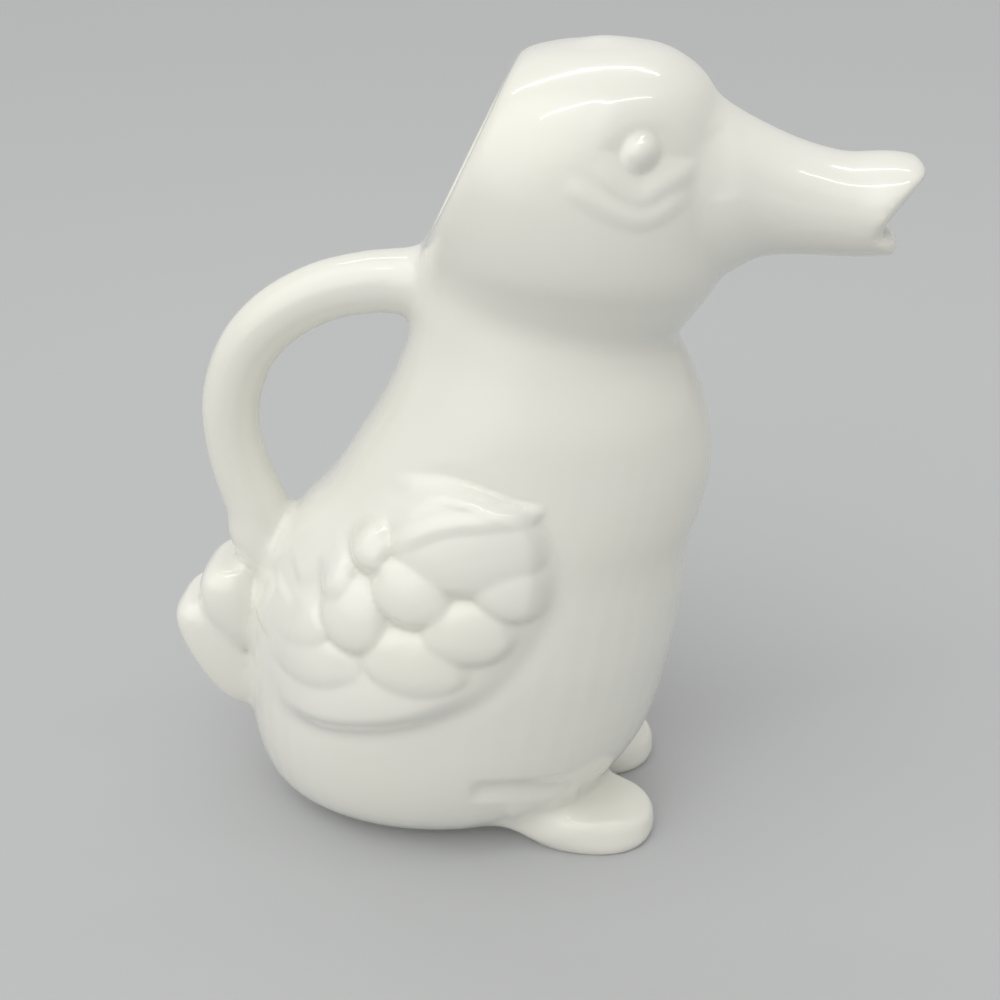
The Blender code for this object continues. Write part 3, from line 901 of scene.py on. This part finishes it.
class CREAMER_OT_pull_handle(bpy.types.Operator):
    """Pulls the loop handle from under the rim down to the rump"""

    bl_idname = "creamer.pull_handle"
    bl_label = "Pull handle"

    def execute(self, context):
        sizes = creamer_sizes()
        path = curve_between(handle_path(sizes), RING_STEPS)
        rings = []
        for index, (x, z, ratio) in enumerate(path):
            before = path[max(index - 1, 0)]
            after = path[min(index + 1, len(path) - 1)]
            along = Vector((after[0] - before[0], after[1] - before[1])).normalized()
            reach = sizes.handle_thickness / 2 * ratio
            across = along.y * reach
            up = along.x * reach
            rings.append(Ring(x + across, z - up, x - across, z + up, reach))
        pull_form("clay_handle", rings)
        return {"FINISHED"}


class CREAMER_OT_pinch_tail(bpy.types.Operator):
    """Pinches the two upturned tail feathers, one behind the other"""

    bl_idname = "creamer.pinch_tail"
    bl_label = "Pinch tail"

    def execute(self, context):
        pull_form("clay_upper_tail", rings_between(in_metres(UPPER_TAIL_RINGS)), TAIL_SQUARENESS)
        pull_form("clay_lower_tail", rings_between(in_metres(LOWER_TAIL_RINGS)), TAIL_SQUARENESS)
        return {"FINISHED"}


class CREAMER_OT_press_feet(bpy.types.Operator):
    """Presses the two feet, each long enough to run out of the flank, and splays them"""

    bl_idname = "creamer.press_feet"
    bl_label = "Press feet"

    def execute(self, context):
        for name, side in SIDES:
            foot = pull_form("clay_%s_foot" % name, rings_between(in_metres(FOOT_RINGS)), FOOT_SQUARENESS)
            open_form(foot)
            turn = -side * math.radians(FOOT_SPLAY)
            bpy.ops.transform.rotate(value=turn, orient_axis="Z", center_override=(0, 0, 0))
            bpy.ops.transform.translate(value=(FOOT_PLACE[0] * MM, side * FOOT_PLACE[1] * MM, 0))
            bpy.ops.object.mode_set(mode="OBJECT")
        return {"FINISHED"}


def ring_spots(ring, radius, share=1.0):
    """Spots round a ring, or round a share of it, where a crease is softened."""
    centre = ring_centre(ring)
    half = Vector((ring.front_x, 0, ring.front_z)) - centre
    spots = []
    for step in range(RING_POINTS):
        angle = 2 * math.pi * step / RING_POINTS
        spoke = half * math.cos(angle) + Vector((0, ring.half_width * math.sin(angle), 0))
        spots.append((centre + spoke * share, radius))
    return spots


def paired_spots(places, radius):
    """Spots on both sides of the duck, from places given in millimetres."""
    return [(Vector((x, side * y, z)) * MM, radius) for x, y, z in places for side in (RIGHT, LEFT)]


def vessel_spots(sizes):
    """Spots where head, beak and handle are luted to the body, and at the crown behind the rim."""
    path = handle_path(sizes)
    spots = ring_spots(neck_ring(sizes), NECK_SOFTNESS)
    spots += ring_spots(beak_rings(sizes)[1], BEAK_SOFTNESS)
    spots += [(Vector((x, 0, z)), HANDLE_SOFTNESS) for x, z, _ in (path[1], path[-2])]
    spots.append((Vector((HANDLE_CROTCH[0] * MM, 0, HANDLE_CROTCH[1] * MM)), HANDLE_SOFTNESS))
    spots.append((head_place(sizes, RIM_TOP), CROWN_SOFTNESS))
    return spots


def rim_spots(sizes):
    """Spots round the lip of the filling mouth, outside and inside."""
    top = head_place(sizes, RIM_TOP)
    bottom = head_place(sizes, RIM_BOTTOM)
    rim = Ring(top.x, top.z, bottom.x, bottom.z, sizes.head_width * RIM_SPAN / 2)
    return ring_spots(rim, RIM_SOFTNESS) + ring_spots(rim, RIM_SOFTNESS, RIM_INNER_SHARE)


def foot_recess(sizes):
    """The shallow recess under the body, within the foot rim."""
    base = body_rings(sizes)[0]
    inner = Ring(
        base.front_x - FOOT_RIM_WIDTH, -FOOT_RECESS, base.back_x + FOOT_RIM_WIDTH, -FOOT_RECESS,
        base.half_width - FOOT_RIM_WIDTH,
    )
    return pull_form("foot_recess", [inner, moved(inner, Vector((0, 0, 2 * FOOT_RECESS)))])


class CREAMER_OT_lute_sections(bpy.types.Operator):
    """Lutes the forms into one skin, hollows it, cuts the mouth and the foot, and sponges it smooth"""

    bl_idname = "creamer.lute_sections"
    bl_label = "Lute sections"

    def execute(self, context):
        sizes = creamer_sizes()
        swollen_copy(found("clay_body"), "body_core", -CORE_SHRINK)
        for name in LOBES:
            swollen_copy(found("clay_" + name), "room_" + name, LOBE_MARGIN)

        skin = join("skin", *(found("clay_" + name) for name in ("body", "head", "beak", "handle")))
        remesh(skin, sizes.fineness)
        soften_spots(skin, CREASE_PASSES, vessel_spots(sizes))
        skin = join("skin", skin, *(found("clay_" + name) for name in LOBES))
        remesh(skin, sizes.fineness)

        hollow = join("hollow", *(found("hollow_" + name) for name in ("body", "head", "beak")))
        remesh(hollow, sizes.fineness)
        soften(hollow, HOLLOW_PASSES)
        for cutter in (hollow, found("mouth_notch"), foot_recess(sizes)):
            cut(skin, cutter)
            discard(cutter)

        remesh(skin, sizes.fineness)
        soften_spots(skin, RIM_PASSES, rim_spots(sizes))
        soften_spots(skin, LEG_PASSES, paired_spots(LEG_CREASES, LEG_SOFTNESS))
        soften_spots(skin, TAIL_PASSES, paired_spots(TAIL_CREASES, TAIL_SOFTNESS))
        soften(skin, SPONGE_PASSES)
        places, _ = read_points(skin)
        places[:, 2] = np.maximum(places[:, 2], 0.0)
        write_points(skin, places)
        return {"FINISHED"}


def outer_side(places, normals, side, depth, box):
    """Whether points lie on the outer skin of one side, within a side-view box given in millimetres."""
    x = places[:, 0] / MM
    z = places[:, 2] / MM
    boxed = (x > box[0]) & (x < box[1]) & (z > box[2]) & (z < box[3])
    return boxed & (normals[:, 1] * side > OUTER_TURN) & (places[:, 1] * side > depth)


def wing_region(places, normals, side):
    """The outer flank round one wing."""
    region = curve_between(WING_REGION, OUTLINE_STEPS, closed=True)
    outer = outer_side(places, normals, side, FLANK_DEPTH, WING_BOX)
    return outer & inside(places[:, 0] / MM, places[:, 2] / MM, region)


def face_region(places, normals, side):
    """The outer cheek and bill on one side."""
    return outer_side(places, normals, side, CHEEK_DEPTH, FACE_BOX)


def leg_region(places, normals, side):
    """The low flank over one foot."""
    return outer_side(places, normals, side, FLANK_DEPTH, LEG_BOX)


def on_either_side(skin, near):
    """Whether a skin's points lie in a region on the right or on the left."""
    places, normals = read_points(skin)
    return near(places, normals, RIGHT) | near(places, normals, LEFT)


def sponge(skin, near, passes):
    """Smooths the skin in a region on both sides, fading out towards the region's border."""
    depth = spread(on_either_side(skin, near).astype(float), neighbours(skin), BORDER_PASSES)
    soften(skin, passes, np.clip(2 * depth - 1, 0.0, 1.0))


def refine(skin, near):
    """Splits the faces in a region on both sides, and sponges them to the rounder shape."""
    chosen = on_either_side(skin, near)
    mesh = skin.data
    corners, owners = face_corners(mesh)
    outside = np.bincount(owners, weights=~chosen[corners], minlength=len(mesh.polygons))

    select_only(skin)
    bpy.context.tool_settings.mesh_select_mode = (False, False, True)
    bpy.ops.object.mode_set(mode="EDIT")
    bpy.ops.mesh.select_all(action="DESELECT")
    bpy.ops.object.mode_set(mode="OBJECT")
    mesh.polygons.foreach_set("select", outside == 0)
    bpy.ops.object.mode_set(mode="EDIT")
    bpy.ops.mesh.subdivide(number_cuts=1)
    bpy.ops.object.mode_set(mode="OBJECT")
    bpy.context.tool_settings.mesh_select_mode = (True, False, False)
    sponge(skin, near, REFINE_PASSES)


def press(skin, near, relief, passes):
    """Raises the outer skin on both sides by a relief in millimetres, seen from the side, and sponges it."""
    places, normals = read_points(skin)
    for side in (RIGHT, LEFT):
        flank = near(places, normals, side)
        heights = relief(places[flank, 0] / MM, places[flank, 2] / MM)
        heights *= ease((normals[flank, 1] * side - OUTER_TURN) / OUTER_FADE)
        places[flank] += normals[flank] * (heights * MM)[:, None]
    write_points(skin, places)
    sponge(skin, near, passes)


def feather_heights(x, z, rise):
    """Overlapping feathers: soft above, with a crisp lower edge over the row below."""
    rows = max(feather.row for feather in FEATHERS)
    heights = np.zeros(len(x))
    for feather in FEATHERS:
        turn = math.radians(feather.turn)
        u = ((x - feather.x) * math.cos(turn) + (z - feather.z) * math.sin(turn)) / feather.half_length
        v = ((z - feather.z) * math.cos(turn) - (x - feather.x) * math.sin(turn)) / feather.half_width
        reach = np.hypot(u, v)
        lower = ease((FEATHER_EDGE_LEVEL - v) / FEATHER_EDGE_SPREAD)
        dome = 1 - np.minimum(reach, 1.0) ** (2 + FEATHER_SQUARENESS * lower)
        dome *= 1 - FEATHER_TIP_BIAS * v
        width = FEATHER_SOFT_EDGE + (FEATHER_CRISP_EDGE - FEATHER_SOFT_EDGE) * lower
        edge = ease((1 - reach) * feather.half_width / width)
        layer = (rows - feather.row) * FEATHER_ROW_STEP
        heights = np.maximum(heights, edge * (rise * dome + layer))
    return heights


class CREAMER_OT_model_wings(bpy.types.Operator):
    """Models both wings in low relief on the flanks, with their overlapping feathers"""

    bl_idname = "creamer.model_wings"
    bl_label = "Model wings"

    def execute(self, context):
        sizes = creamer_sizes()
        skin = found("skin")
        refine(skin, wing_region)
        outline = curve_between(WING_OUTLINE, OUTLINE_STEPS, closed=True)

        def plumage(x, z):
            depth = line_distance(x, z, outline, closed=True)[0] * np.where(inside(x, z, outline), 1, -1)
            across, up, start, span = WING_FADE
            rear = ease((across * x + up * z - start) / span)
            top = ease_over(z, WING_TOP_SPAN) * (1 - rear)
            width = WING_LOW_EDGE + (WING_REAR_EDGE - WING_LOW_EDGE) * rear
            width += (WING_TOP_EDGE - WING_LOW_EDGE) * top
            share = ease(depth / width)
            heights = share * (sizes.wing_rise / MM + feather_heights(x, z, sizes.feather_rise / MM))
            reach, sink = WING_GROOVE
            heights -= sink * (1 - rear) * (1 - ease(np.abs(depth) / reach))
            return heights * ease_over(x, WING_ROOT_SPAN)

        def ridges(x, z):
            return beads(x, z, WING_RIDGES)

        press(skin, wing_region, plumage, FEATHER_PASSES)
        press(skin, wing_region, ridges, RELIEF_PASSES)
        return {"FINISHED"}


class CREAMER_OT_model_legs(bpy.types.Operator):
    """Models the short legs over the feet, and the fold of the belly over them"""

    bl_idname = "creamer.model_legs"
    bl_label = "Model legs"

    def execute(self, context):
        def legs(x, z):
            return beads(x, z, LEG_LINES)

        press(found("skin"), leg_region, legs, RELIEF_PASSES)
        return {"FINISHED"}


class CREAMER_OT_model_face(bpy.types.Operator):
    """Models the eyes in their sockets with their folds, and the lines of the bill"""

    bl_idname = "creamer.model_face"
    bl_label = "Model face"

    def execute(self, context):
        sizes = creamer_sizes()
        skin = found("skin")
        refine(skin, face_region)
        eye = head_place(sizes, EYE_PLACE) / MM
        socket = curve_between(SOCKET, OUTLINE_STEPS, closed=True)

        def folds(x, z):
            u = x - eye.x
            v = z - eye.z
            depth = np.where(inside(u, v, socket), line_distance(u, v, socket, closed=True)[0], 0)
            sunk = -SOCKET_DEPTH * ease(depth / SOCKET_EDGE)
            return beads(x, z, BILL_LINES, beads(u, v, EYE_LINES, sunk))

        def dome(x, z):
            reach = np.hypot(x - eye.x, z - eye.z) / (sizes.eye_diameter / MM / 2)
            return (sizes.eye_rise / MM) * np.clip(1 - reach ** 2, 0, 1) ** EYE_ROUNDNESS

        press(skin, face_region, folds, RELIEF_PASSES)
        press(skin, face_region, dome, EYE_PASSES)
        return {"FINISHED"}


def crease_shading(skin):
    """How far the skin is hollow at each point, from 0 to 1, which sets how much painted shade the creases
    get.
    """
    places, normals = read_points(skin)
    edges = neighbours(skin)
    first, second, count = edges
    step = places[second] - places[first]
    bend = np.einsum("ij,ij->i", step, normals[first])
    bend /= np.maximum(np.einsum("ij,ij->i", step, step), SMALLEST_STEP)
    hollow = np.bincount(first, weights=bend, minlength=len(places)) / count
    return np.clip(spread(hollow, edges, CREASE_SHADE_PASSES) * CREASE_SHADE_RADIUS, 0.0, 1.0)


def point_keys(points):
    """Whole numbers that stand for points, to find the same point again."""
    steps = np.round(points / KEY_STEP).astype(np.int64)
    return (steps[:, 0] * KEY_SPAN + steps[:, 1]) * KEY_SPAN + steps[:, 2]


class WholeSkin:
    """The skin before it is parted: its points, normals and painted crease shade, and where to look them up.
    """

    def __init__(self, skin):
        self.places, self.normals = read_points(skin)
        self.crease_shade = crease_shading(skin)
        self.faces = [tuple(polygon.vertices) for polygon in skin.data.polygons]
        self.tree = BVHTree.FromPolygons([Vector(place) for place in self.places], self.faces)
        keys = point_keys(self.places)
        self.order = np.argsort(keys)
        self.keys = keys[self.order]

    def look_up(self, points):
        """Normals and painted crease shade for points that lie on the skin."""
        wanted = point_keys(points)
        spots = np.minimum(np.searchsorted(self.keys, wanted), len(self.keys) - 1)
        same = self.keys[spots] == wanted
        match = self.order[spots]
        normals = self.normals[match]
        crease_shade = self.crease_shade[match]
        for index in np.flatnonzero(~same):
            spot, _, face, gap = self.tree.find_nearest(points[index])
            corners = list(self.faces[face])
            shares = np.array(poly_3d_calc([Vector(self.places[corner]) for corner in corners], spot))
            normals[index] = shares @ self.normals[corners]
            crease_shade[index] = shares @ self.crease_shade[corners] if gap < SEAM_REACH else 0.0
        return normals, crease_shade


def dress_section(piece, whole):
    """Gives a section the normals of the whole skin and its mask of painted crease shade, so that seams
    don't show.
    """
    mesh = piece.data
    points, _ = read_points(piece)
    skin_normals, crease_shade = whole.look_up(points)
    # The mask of painted crease shade travels with each section.
    mesh.attributes.new("crease_shade_mask", "FLOAT", "POINT").data.foreach_set("value", crease_shade)
    mesh.polygons.foreach_set("use_smooth", np.ones(len(mesh.polygons), dtype=bool))
    finish = read_values(mesh.polygons, "material_index", np.int32)
    flat = read_values(mesh.polygon_normals, "vector", float, 3)
    corners, owners = face_corners(mesh)
    glazed = (finish == 0)[owners]
    mesh.normals_split_custom_set(np.where(glazed[:, None], skin_normals[corners], flat[owners]))


def cut_room(skin, name, room):
    """Takes the part of the skin that lies in a room away as a section of its own."""
    room.data.materials.clear()
    room.data.materials.append(biscuit_material())
    section = copy_of(skin, name)
    cut(section, room, "INTERSECT")
    cut(skin, room)
    discard(room)
    return section


def thin_inside(section, form):
    """Thins a section's mesh where it lies well inside a form, on the hollow side that nobody sees."""
    tree = BVHTree.FromObject(form, bpy.context.evaluated_depsgraph_get())
    points, _ = read_points(section)
    deep = np.zeros(len(points))
    for index, point in enumerate(points):
        spot, outward, _, _ = tree.find_nearest(point)
        deep[index] = (spot - Vector(point)).dot(outward) > INSIDE_DEPTH
    finish_modifier(section, "DECIMATE", ratio=INSIDE_RATIO, vertex_group=weight_group(section, deep))
    section.vertex_groups.clear()


class CREAMER_OT_part_sections(bpy.types.Operator):
    """Parts the finished skin into its sections, whose cut faces meet unseen under the glaze"""

    bl_idname = "creamer.part_sections"
    bl_label = "Part sections"

    def execute(self, context):
        sizes = creamer_sizes()
        skin = found("skin")
        core = found("body_core")
        skin.data.materials.clear()
        skin.data.materials.append(glaze_material())
        whole = WholeSkin(skin)

        width = sizes.body_width
        handle = cut_room(skin, "glazed_handle", side_prism("room", HANDLE_CUT, -width, width))
        neck = half_space("room", ring_centre(neck_ring(sizes)), neck_up(sizes))
        head = cut_room(skin, "glazed_head", neck)
        beak = cut_room(head, "glazed_beak", side_prism("room", BEAK_CUT, -width, width))
        sections = [(handle, "handle"), (head, "head_shell"), (beak, "beak_spout")]
        eye = head_place(sizes, EYE_PLACE)
        for name, side in SIDES:
            spot, _, _, _ = whole.tree.ray_cast(Vector((eye.x, side * FAR, eye.z)), Vector((0, -side, 0)))
            node = name + "_eye"
            sections.append((cut_room(head, "glazed_" + node, ball_room("room", spot, EYE_ROOM)), node))
        for name, node in LOBES.items():
            room = found("room_" + name)
            cut(room, core)
            sections.append((cut_room(skin, "glazed_" + name, room), node))
        outline = curve_between(WING_OUTLINE, OUTLINE_STEPS, closed=True)
        for name, side in SIDES:
            room = side_prism("room", outline, side * FLANK_DEPTH, side * width)
            cut(room, core)
            node = name + "_wing"
            sections.append((cut_room(skin, "glazed_" + node, room), node))
        skin.name = "glazed_body"
        sections.append((skin, "body_shell"))
        thin_inside(skin, core)
        discard(core)

        for section, node in sections:
            dress_section(section, whole)
            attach(section, "root")
            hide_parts(node)
        return {"FINISHED"}


def set_inputs(node, values):
    """Sets inputs of a node by their names."""
    for name, value in values.items():
        node.inputs[name].default_value = value


def new_node(tree, kind, **settings):
    """A shader node with its settings."""
    node = tree.nodes.new(kind)
    for name, value in settings.items():
        setattr(node, name, value)
    return node


def fired_grain_group():
    """Node group: the slow tone and the fine grain of a fired surface."""
    if "fired_grain" in bpy.data.node_groups:
        return bpy.data.node_groups["fired_grain"]
    group = bpy.data.node_groups.new("fired_grain", "ShaderNodeTree")
    for way, names in (("INPUT", ("Tone Size", "Grain Size")), ("OUTPUT", ("Tone", "Grain"))):
        for name in names:
            group.interface.new_socket(name, in_out=way, socket_type="NodeSocketFloat")
    start = new_node(group, "NodeGroupInput")
    end = new_node(group, "NodeGroupOutput")
    place = new_node(group, "ShaderNodeTexCoord")
    for size, output, detail in (("Tone Size", "Tone", TONE_DETAIL), ("Grain Size", "Grain", GRAIN_DETAIL)):
        noise = new_node(group, "ShaderNodeTexNoise")
        set_inputs(noise, {"Detail": detail})
        group.links.new(place.outputs["Object"], noise.inputs["Vector"])
        group.links.new(start.outputs[size], noise.inputs["Scale"])
        group.links.new(noise.outputs["Fac"], end.inputs[output])
    return group


def new_material(name, sizes):
    """A new material with its shader, and a fired grain of given sizes."""
    material = bpy.data.materials.new(name)
    material.use_nodes = True
    tree = material.node_tree
    grain = new_node(tree, "ShaderNodeGroup", node_tree=fired_grain_group())
    set_inputs(grain, sizes)
    return material, tree, tree.nodes["Principled BSDF"], grain.outputs


def mapped(tree, source, span, result, **settings):
    """A value carried from one span to another."""
    node = new_node(tree, "ShaderNodeMapRange", **settings)
    set_inputs(node, {"From Min": span[0], "From Max": span[1], "To Min": result[0], "To Max": result[1]})
    tree.links.new(source, node.inputs["Value"])
    return node.outputs["Result"]


def mixed(tree, factor, first, second, kind="RGBA"):
    """Two colours, or two values, mixed by a factor; each is given outright or as a socket."""
    node = new_node(tree, "ShaderNodeMix", data_type=kind)
    tree.links.new(factor, node.inputs[0])
    *ends, output = MIX_SOCKETS[kind]
    for value, end in zip((first, second), ends):
        if isinstance(value, bpy.types.NodeSocket):
            tree.links.new(value, node.inputs[end])
        else:
            node.inputs[end].default_value = (*value, 1.0) if kind == "RGBA" else value
    return node.outputs[output]


def shaded(colour, share):
    """A colour at a share of its brightness."""
    return tuple(value * share for value in colour)


def add_bump(tree, shader, height, values):
    """Lets a height that varies raise the surface."""
    bump = new_node(tree, "ShaderNodeBump")
    set_inputs(bump, values)
    tree.links.new(height, bump.inputs["Height"])
    tree.links.new(bump.outputs["Normal"], shader.inputs["Normal"])


def glaze_material():
    """White glaze: glossy, a little uneven, darker and yellower in the creases as painted shade, and worn
    away under the foot.
    """
    finish = creamer_finish()
    material, tree, shader, grain = new_material("white_glaze", GLAZE_GRAIN)
    crease_shade = new_node(tree, "ShaderNodeAttribute", attribute_name="crease_shade_mask")
    shaded_creases = mapped(tree, crease_shade.outputs["Fac"], CREASE_SHADE_SPAN, (0.0, 1.0))
    place = new_node(tree, "ShaderNodeTexCoord")
    split = new_node(tree, "ShaderNodeSeparateXYZ")
    tree.links.new(place.outputs["Object"], split.inputs["Vector"])
    bare = mapped(tree, split.outputs["Z"], BARE_SPAN, (1.0, 0.0))
    covered = mapped(tree, split.outputs["Z"], BARE_SPAN, (0.0, COAT_WEIGHT))

    tone = mixed(tree, grain["Tone"], finish.glaze_colour, finish.tone_colour)
    # Painted shade: the colour darkens and yellows where the skin is hollow, in the creases.
    colour = mixed(tree, shaded_creases, tone, finish.crease_shade_colour)
    polish = mapped(tree, grain["Tone"], GRAIN_SPAN, GLAZE_ROUGHNESS)
    tree.links.new(mixed(tree, bare, colour, finish.biscuit_colour), shader.inputs["Base Color"])
    tree.links.new(mixed(tree, bare, polish, BARE_ROUGHNESS, "FLOAT"), shader.inputs["Roughness"])
    tree.links.new(covered, shader.inputs["Coat Weight"])
    set_inputs(shader, GLAZE_GLOSS)
    add_bump(tree, shader, grain["Tone"], GLAZE_BUMP)
    return material


def biscuit_material():
    """Bare fired clay, matt and finely grained."""
    if "bare_biscuit" in bpy.data.materials:
        return bpy.data.materials["bare_biscuit"]
    clay = creamer_finish().biscuit_colour
    material, tree, shader, grain = new_material("bare_biscuit", BISCUIT_GRAIN)
    colour = mixed(tree, grain["Tone"], clay, shaded(clay, BISCUIT_SHADE))
    tree.links.new(colour, shader.inputs["Base Color"])
    tree.links.new(mapped(tree, grain["Grain"], GRAIN_SPAN, BISCUIT_ROUGHNESS), shader.inputs["Roughness"])
    add_bump(tree, shader, grain["Grain"], BISCUIT_BUMP)
    return material


def floor_material(pale):
    """Plain matt floor with a trace of tone."""
    material, tree, shader, grain = new_material("plain_floor", FLOOR_GRAIN)
    colour = mixed(tree, grain["Tone"], pale, shaded(pale, FLOOR_SHADE))
    tree.links.new(colour, shader.inputs["Base Color"])
    set_inputs(shader, FLOOR_GLOSS)
    return material


def hang_strip(name, place, power):
    """A soft strip light overhead, aimed at the jug."""
    lamp = bpy.data.lights.new(name, "AREA")
    lamp.shape = "RECTANGLE"
    lamp.size, lamp.size_y = STRIP_SIZE
    lamp.energy = power
    strip = bpy.data.objects.new(name, lamp)
    strip.location = place
    strip.rotation_euler = (Vector(STRIP_TARGET) - Vector(place)).to_track_quat("-Z", "Y").to_euler()
    bpy.context.scene.collection.objects.link(strip)


def pale_surroundings(stage):
    """A world that lights the jug from all round and from a large glow, and looks like the floor."""
    world = bpy.data.worlds.new("surroundings")
    world.use_nodes = True
    tree = world.node_tree
    tree.nodes.clear()
    place = new_node(tree, "ShaderNodeTexCoord")
    facing = new_node(tree, "ShaderNodeVectorMath", operation="DOT_PRODUCT")
    facing.inputs[1].default_value = Vector(GLOW_AIM).normalized()
    tree.links.new(place.outputs["Generated"], facing.inputs[0])
    edge = [math.cos(math.radians(angle)) for angle in (GLOW_REACH, GLOW_HEART)]
    levels = (stage.fill_level, stage.fill_level + stage.glow_level)
    glow = mapped(tree, facing.outputs["Value"], edge, levels, interpolation_type="SMOOTHSTEP")
    fill = new_node(tree, "ShaderNodeBackground")
    set_inputs(fill, {"Color": FILL_TINT})
    tree.links.new(glow, fill.inputs["Strength"])
    pale = new_node(tree, "ShaderNodeBackground")
    set_inputs(pale, {"Color": (*stage.floor_colour, 1.0), "Strength": 1.0})
    rays = new_node(tree, "ShaderNodeLightPath")
    choice = new_node(tree, "ShaderNodeMixShader")
    output = new_node(tree, "ShaderNodeOutputWorld")
    tree.links.new(rays.outputs["Is Camera Ray"], choice.inputs["Fac"])
    tree.links.new(fill.outputs["Background"], choice.inputs[1])
    tree.links.new(pale.outputs["Background"], choice.inputs[2])
    tree.links.new(choice.outputs["Shader"], output.inputs["Surface"])
    return world


class CREAMER_OT_set_stage(bpy.types.Operator):
    """Sets the floor, the lamps, the pale surroundings and the camera"""

    bl_idname = "creamer.set_stage"
    bl_label = "Set stage"

    def execute(self, context):
        scene = context.scene
        stage = scene.creamer_stage
        floor = added(
            "floor", bpy.ops.mesh.primitive_grid_add, x_subdivisions=FLOOR_STEPS, y_subdivisions=FLOOR_STEPS,
            size=FLOOR_SIZE, location=(0, 0, 0),
        )
        floor.data.materials.append(floor_material(stage.floor_colour))
        for name, place in STRIPS.items():
            hang_strip(name, place, stage.strip_power)
        scene.world = pale_surroundings(stage)

        lens = bpy.data.cameras.new("camera")
        lens.sensor_fit = "HORIZONTAL"
        lens.angle = math.radians(CAMERA_ANGLE)
        camera = bpy.data.objects.new("camera", lens)
        camera.location = CAMERA_PLACE
        camera.rotation_euler = Vector(CAMERA_AIM).to_track_quat("-Z", "Y").to_euler()
        scene.collection.objects.link(camera)
        scene.camera = camera
        scene.view_settings.view_transform = "Standard"
        return {"FINISHED"}


STEPS = (
    CREAMER_OT_throw_body,
    CREAMER_OT_throw_head,
    CREAMER_OT_pull_beak,
    CREAMER_OT_pull_handle,
    CREAMER_OT_pinch_tail,
    CREAMER_OT_press_feet,
    CREAMER_OT_lute_sections,
    CREAMER_OT_model_wings,
    CREAMER_OT_model_legs,
    CREAMER_OT_model_face,
    CREAMER_OT_part_sections,
    CREAMER_OT_set_stage,
)


class CREAMER_PT_sidebar(bpy.types.Panel):
    """Sizes, colours and making steps of the creamer"""

    bl_idname = "CREAMER_PT_sidebar"
    bl_label = "Duck Creamer"
    bl_space_type = "VIEW_3D"
    bl_region_type = "UI"
    bl_category = "Creamer"

    def draw(self, context):
        scene = context.scene
        for group in (scene.creamer_sizes, scene.creamer_finish, scene.creamer_stage):
            column = self.layout.column(align=True)
            for name in group.__annotations__:
                column.prop(group, name)
        column = self.layout.column(align=True)
        for step in STEPS:
            column.operator(step.bl_idname)


GROUPS = (
    ("creamer_sizes", CreamerSizes),
    ("creamer_finish", CreamerFinish),
    ("creamer_stage", CreamerStage),
)


def register():
    """Adds the creamer's classes and its values to Blender."""
    for name, group in GROUPS:
        bpy.utils.register_class(group)
        setattr(bpy.types.Scene, name, bpy.props.PointerProperty(type=group))
    for step in STEPS:
        bpy.utils.register_class(step)
    bpy.utils.register_class(CREAMER_PT_sidebar)


def unregister():
    """Takes the creamer's classes out of Blender."""
    bpy.utils.unregister_class(CREAMER_PT_sidebar)
    for step in reversed(STEPS):
        bpy.utils.unregister_class(step)
    for name, group in reversed(GROUPS):
        delattr(bpy.types.Scene, name)
        bpy.utils.unregister_class(group)


def main():
    """Runs the making steps in order."""
    register()
    for step in STEPS:
        group, name = step.bl_idname.split(".")
        getattr(getattr(bpy.ops, group), name)()


if __name__ == "__main__":
    main()
